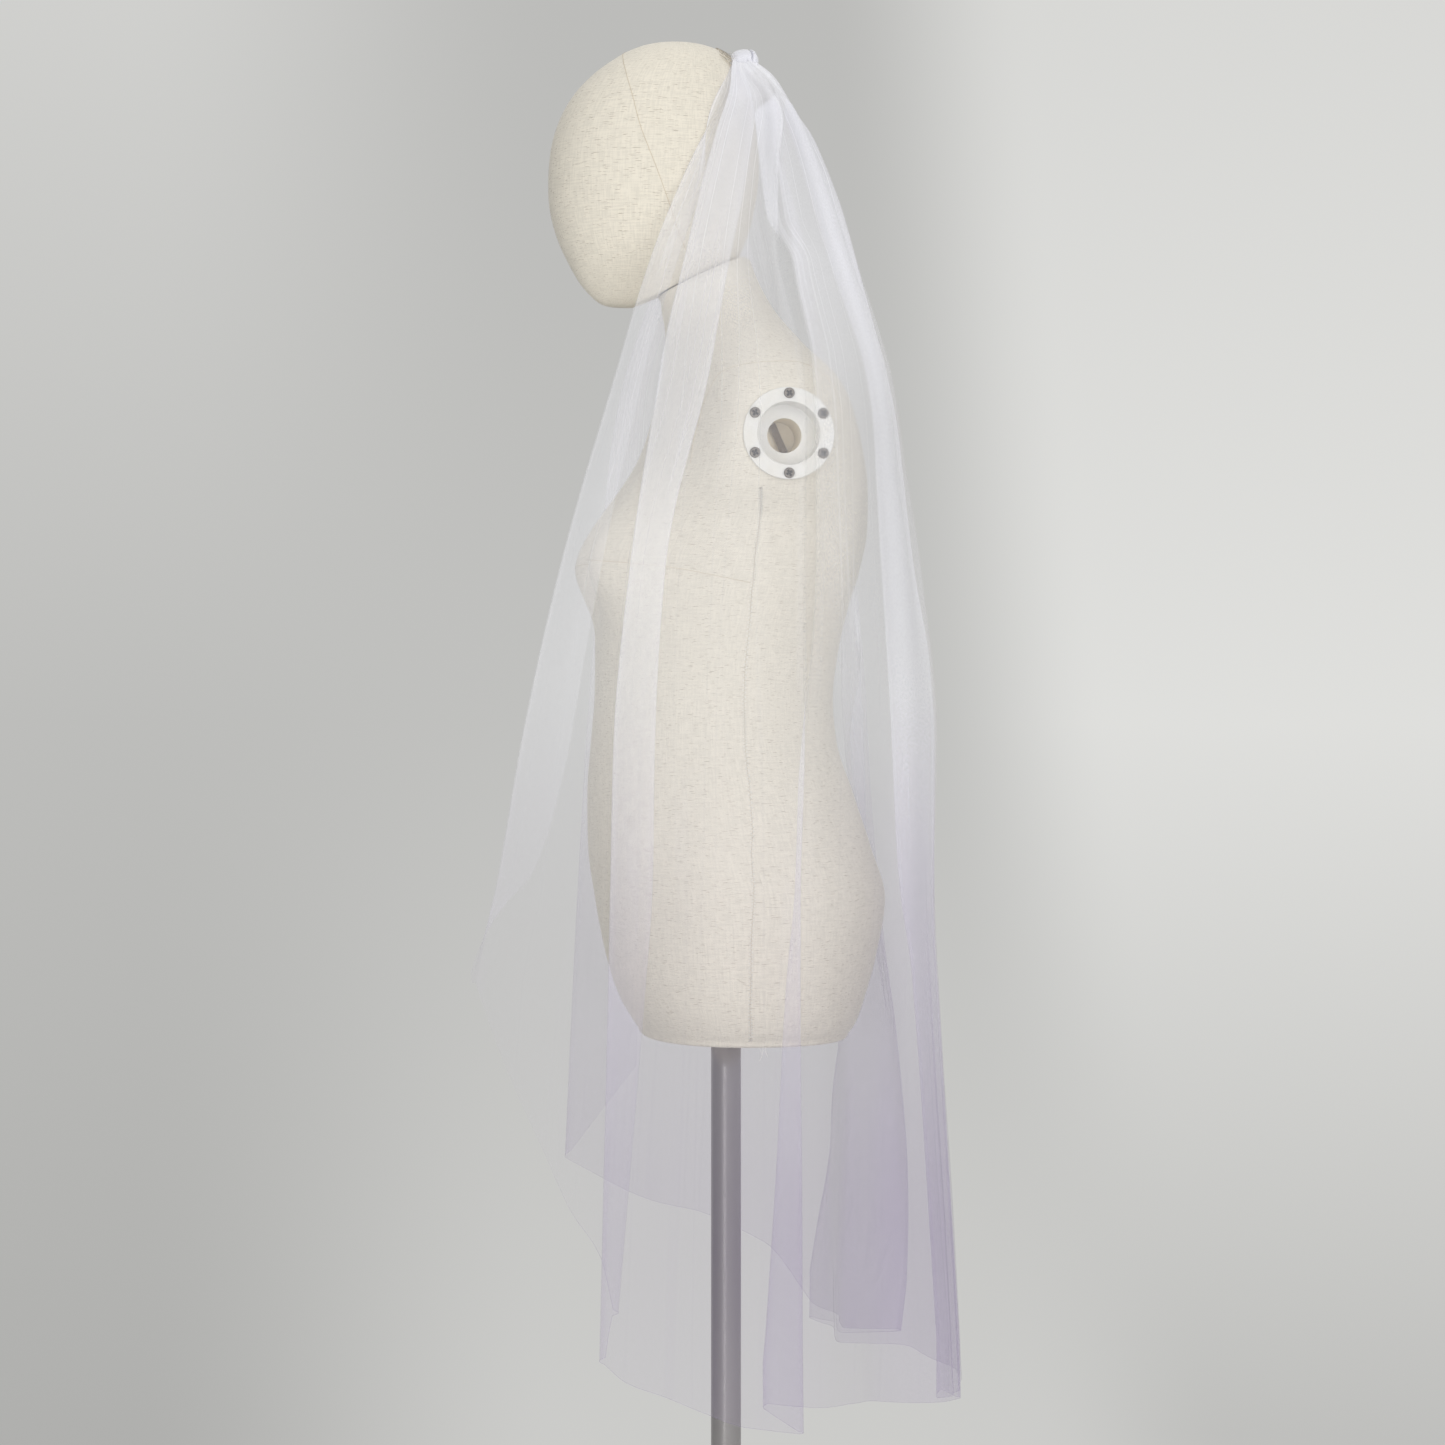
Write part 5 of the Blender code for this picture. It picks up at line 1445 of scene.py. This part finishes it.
def make_lamps(light):
    """The lamps, each turned to the form's middle; only the strip is seen in shiny pieces."""
    for name, place, width, height, power in LAMPS[1:]:
        lamp = bpy.data.lights.new(name, "AREA")
        lamp.shape = "RECTANGLE" if name == "strip" else "ELLIPSE"
        lamp.size, lamp.size_y = width, height
        lamp.energy = power * light
        lamp.color = (1.0, 0.99, 0.97)
        obj = bpy.data.objects.new(name, lamp)
        obj.location = place
        obj.rotation_euler = (Vector(LAMPS_TO) - Vector(place)).to_track_quat("-Z", "Y").to_euler()
        obj.visible_glossy = name == "strip"
        bpy.context.scene.collection.objects.link(obj)


def make_stage(settings):
    """The floor, the surroundings, the lamps and a camera at the photograph's angle."""
    radii = (0.001, settings.floor_radius / 3, settings.floor_radius * 2 / 3, settings.floor_radius)
    floor = surface("studio_floor", turned([(r, FLOOR_LEVEL) for r in radii], 96), closed=True)
    floor.data.flip_normals()
    floor.data.materials.append(floor_finish("pale_floor", settings.floor))
    make_wall(settings.wall)
    make_lamps(settings.light)
    scene = bpy.context.scene
    data = bpy.data.cameras.new("camera")
    data.sensor_width = SENSOR
    data.lens = SENSOR * DISTANCE / FRAME_WIDTH
    camera = bpy.data.objects.new("camera", data)
    turn = math.radians(AZIMUTH)
    back = Vector((math.sin(turn), -math.cos(turn), 0.0))
    camera.location = Vector(TARGET) + back * DISTANCE
    camera.rotation_euler = (-back).to_track_quat("-Z", "Y").to_euler()
    scene.collection.objects.link(camera)
    scene.camera = camera
    scene.view_settings.view_transform = "Standard"
    scene.cycles.transparent_max_bounces = 32


# Settings, operators and panel


def colour_property(name, description, default):
    """A colour that the user can change."""
    return bpy.props.FloatVectorProperty(
        name=name, description=description, default=default, size=3, min=0.0, max=1.0, subtype="COLOR"
    )


def size_property(name, description, default):
    """A size in metres that the user can change."""
    return bpy.props.FloatProperty(
        name=name, description=description, default=default, min=0.0, precision=5,
        subtype="DISTANCE", unit="LENGTH",
    )


class VeilSettings(bpy.types.PropertyGroup):
    white: colour_property("White", "Colour of the undyed net", (0.87, 0.875, 0.93))
    lilac: colour_property("Lilac", "Colour of the dyed net at the hem", (0.335, 0.262, 0.47))
    cover: bpy.props.FloatProperty(
        name="Cover", description="Share of one flat layer that is thread", default=0.17, min=0.02,
        max=1.0, subtype="FACTOR",
    )
    thread: colour_property("Thread", "Colour of the gathering thread", (0.88, 0.87, 0.88))
    thread_thickness: size_property("Thread thickness", "Thickness of the gathering thread", 0.00044)
    edge_thickness: size_property("Edge thickness", "Thickness of the net's raw edge", 0.0004)


class FormSettings(bpy.types.PropertyGroup):
    linen: colour_property("Linen", "Colour of the form's cover", (0.84, 0.795, 0.70))
    seam: colour_property("Seam thread", "Colour of the stitches and loose threads", (0.99, 0.96, 0.90))
    # The seam lines are real, but their colour, darker than the linen, is painted shade for each seam's
    # groove
    crease: colour_property("Seam lines", "Colour in the seams' creases", (0.72, 0.63, 0.51))
    plastic: colour_property("Plastic", "Colour of the arm sockets", (0.86, 0.855, 0.84))
    steel: colour_property("Steel", "Colour of the stand", (0.13, 0.12, 0.118))
    # The lining is beige, but it is made lighter than it is: painted light so the deep socket holes read
    # lit
    lining: colour_property("Lining", "Colour inside the arm sockets", (0.95, 0.87, 0.71))
    screws: colour_property("Screws", "Colour of the screws and rods", (0.40, 0.35, 0.30))
    comb: colour_property("Comb", "Colour of the comb", (0.92, 0.82, 0.74))
    zigzag_width: size_property("Zig-zag width", "Width of the side seams' zig-zag", 0.0030)
    stitch_thickness: size_property("Stitch thickness", "Thickness of the zig-zag's thread", 0.00096)


class StageSettings(bpy.types.PropertyGroup):
    floor: colour_property("Floor", "Colour of the floor", (0.66, 0.66, 0.65))
    wall: colour_property("Wall", "Colour of the surroundings", (0.60, 0.60, 0.585))
    floor_radius: size_property("Floor radius", "Radius of the round floor", 1.8)
    light: bpy.props.FloatProperty(
        name="Light", description="Strength of the studio lamps", default=1.0, min=0.0, max=10.0
    )


def shared(make, name, *arguments):
    """A finish by name, made the first time that it is asked for."""
    return bpy.data.materials.get(name) or make(name, *arguments)


def screw_metal(settings):
    """The metal that the screws and the rods share."""
    return shared(metal_finish, "zinc_steel", settings.screws, (500, 500, 500), (0.30, 0.46))


def veil_thread(settings):
    """The thread that binds the comb and gathers the heading."""
    return shared(thread_finish, "veil_thread", settings.thread)


class FORM_OT_body(bpy.types.Operator):
    """Covers the torso and the head in linen with their seams"""

    bl_idname = "dressform.body"
    bl_label = "Linen body and head"

    def execute(self, context):
        settings = context.scene.form_settings
        linen = shared(linen_finish, "linen_cover", settings.linen)
        crease = shared(thread_finish, "seam_crease", settings.crease)
        thread = shared(thread_finish, "linen_thread", settings.seam)
        make_torso(linen, thread, crease, settings)
        make_frayed_ends(thread)
        make_head(linen, crease)
        return {"FINISHED"}


class FORM_OT_sockets(bpy.types.Operator):
    """Sets the arm sockets with their screws and rods into both sides"""

    bl_idname = "dressform.sockets"
    bl_label = "Arm sockets"

    def execute(self, context):
        settings = context.scene.form_settings
        plastic = shared(plastic_finish, "moulded_plastic", settings.plastic)
        # The lining's beige is lightened as painted light for the deep socket holes
        lining = shared(plastic_finish, "socket_lining", settings.lining)
        for side in (1, -1):
            make_socket(side, plastic, lining, screw_metal(settings))
        return {"FINISHED"}


class FORM_OT_stand(bpy.types.Operator):
    """Turns the pole and the round base"""

    bl_idname = "dressform.stand"
    bl_label = "Pole and base"

    def execute(self, context):
        steel = context.scene.form_settings.steel
        make_stand(shared(metal_finish, "brushed_steel", steel, (900, 900, 14), (0.05, 0.11)))
        return {"FINISHED"}


class VEIL_OT_comb(bpy.types.Operator):
    """Lays the comb over the crown and binds it with thread"""

    bl_idname = "veil.comb"
    bl_label = "Hair comb"

    def execute(self, context):
        settings = context.scene.veil_settings
        metal = shared(metal_finish, "comb_wire", context.scene.form_settings.comb, (900, 900, 900))
        make_comb(metal, veil_thread(settings), settings.thread_thickness)
        return {"FINISHED"}


class VEIL_OT_cloth(bpy.types.Operator):
    """Drapes the tulle from its gathered heading to the dyed hem"""

    bl_idname = "veil.cloth"
    bl_label = "Tulle veil"

    def execute(self, context):
        settings = context.scene.veil_settings
        tulle = shared(tulle_finish, "tulle_net", settings.white, settings.lilac)
        extras = make_heading(tulle, veil_thread(settings), settings.thread_thickness)
        make_veil(tulle, settings)
        return {"FINISHED"}


class STUDIO_OT_stage(bpy.types.Operator):
    """Sets the floor, the soft light and the camera"""

    bl_idname = "studio.stage"
    bl_label = "Studio"

    def execute(self, context):
        make_stage(context.scene.stage_settings)
        return {"FINISHED"}


OPERATORS = (FORM_OT_body, FORM_OT_sockets, FORM_OT_stand, VEIL_OT_comb, VEIL_OT_cloth, STUDIO_OT_stage)
SETTINGS = (
    ("veil_settings", VeilSettings),
    ("form_settings", FormSettings),
    ("stage_settings", StageSettings),
)


class VEIL_PT_panel(bpy.types.Panel):
    """The pieces of the veil and its form, in the order they are made"""

    bl_label = "Veil"
    bl_idname = "VEIL_PT_panel"
    bl_space_type = "VIEW_3D"
    bl_region_type = "UI"
    bl_category = "Veil"

    def draw(self, context):
        layout = self.layout
        for name, kind in SETTINGS:
            box = layout.box()
            for setting in kind.__annotations__:
                box.prop(getattr(context.scene, name), setting)
        for operator in OPERATORS:
            layout.operator(operator.bl_idname)


def register():
    """Registers the settings, the operators and the panel."""
    for name, group in SETTINGS:
        bpy.utils.register_class(group)
        setattr(bpy.types.Scene, name, bpy.props.PointerProperty(type=group))
    for made in (*OPERATORS, VEIL_PT_panel):
        bpy.utils.register_class(made)


def unregister():
    """Takes them out again."""
    for made in (VEIL_PT_panel, *reversed(OPERATORS)):
        bpy.utils.unregister_class(made)
    for name, group in reversed(SETTINGS):
        delattr(bpy.types.Scene, name)
        bpy.utils.unregister_class(group)


def main():
    """Registers the add-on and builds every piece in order."""
    register()
    for operator in (
        bpy.ops.dressform.body,
        bpy.ops.dressform.sockets,
        bpy.ops.dressform.stand,
        bpy.ops.veil.comb,
        bpy.ops.veil.cloth,
        bpy.ops.studio.stage,
    ):
        if operator() != {"FINISHED"}:
            raise RuntimeError(f"{operator.idname()} didn't finish")


if __name__ == "__main__":
    main()
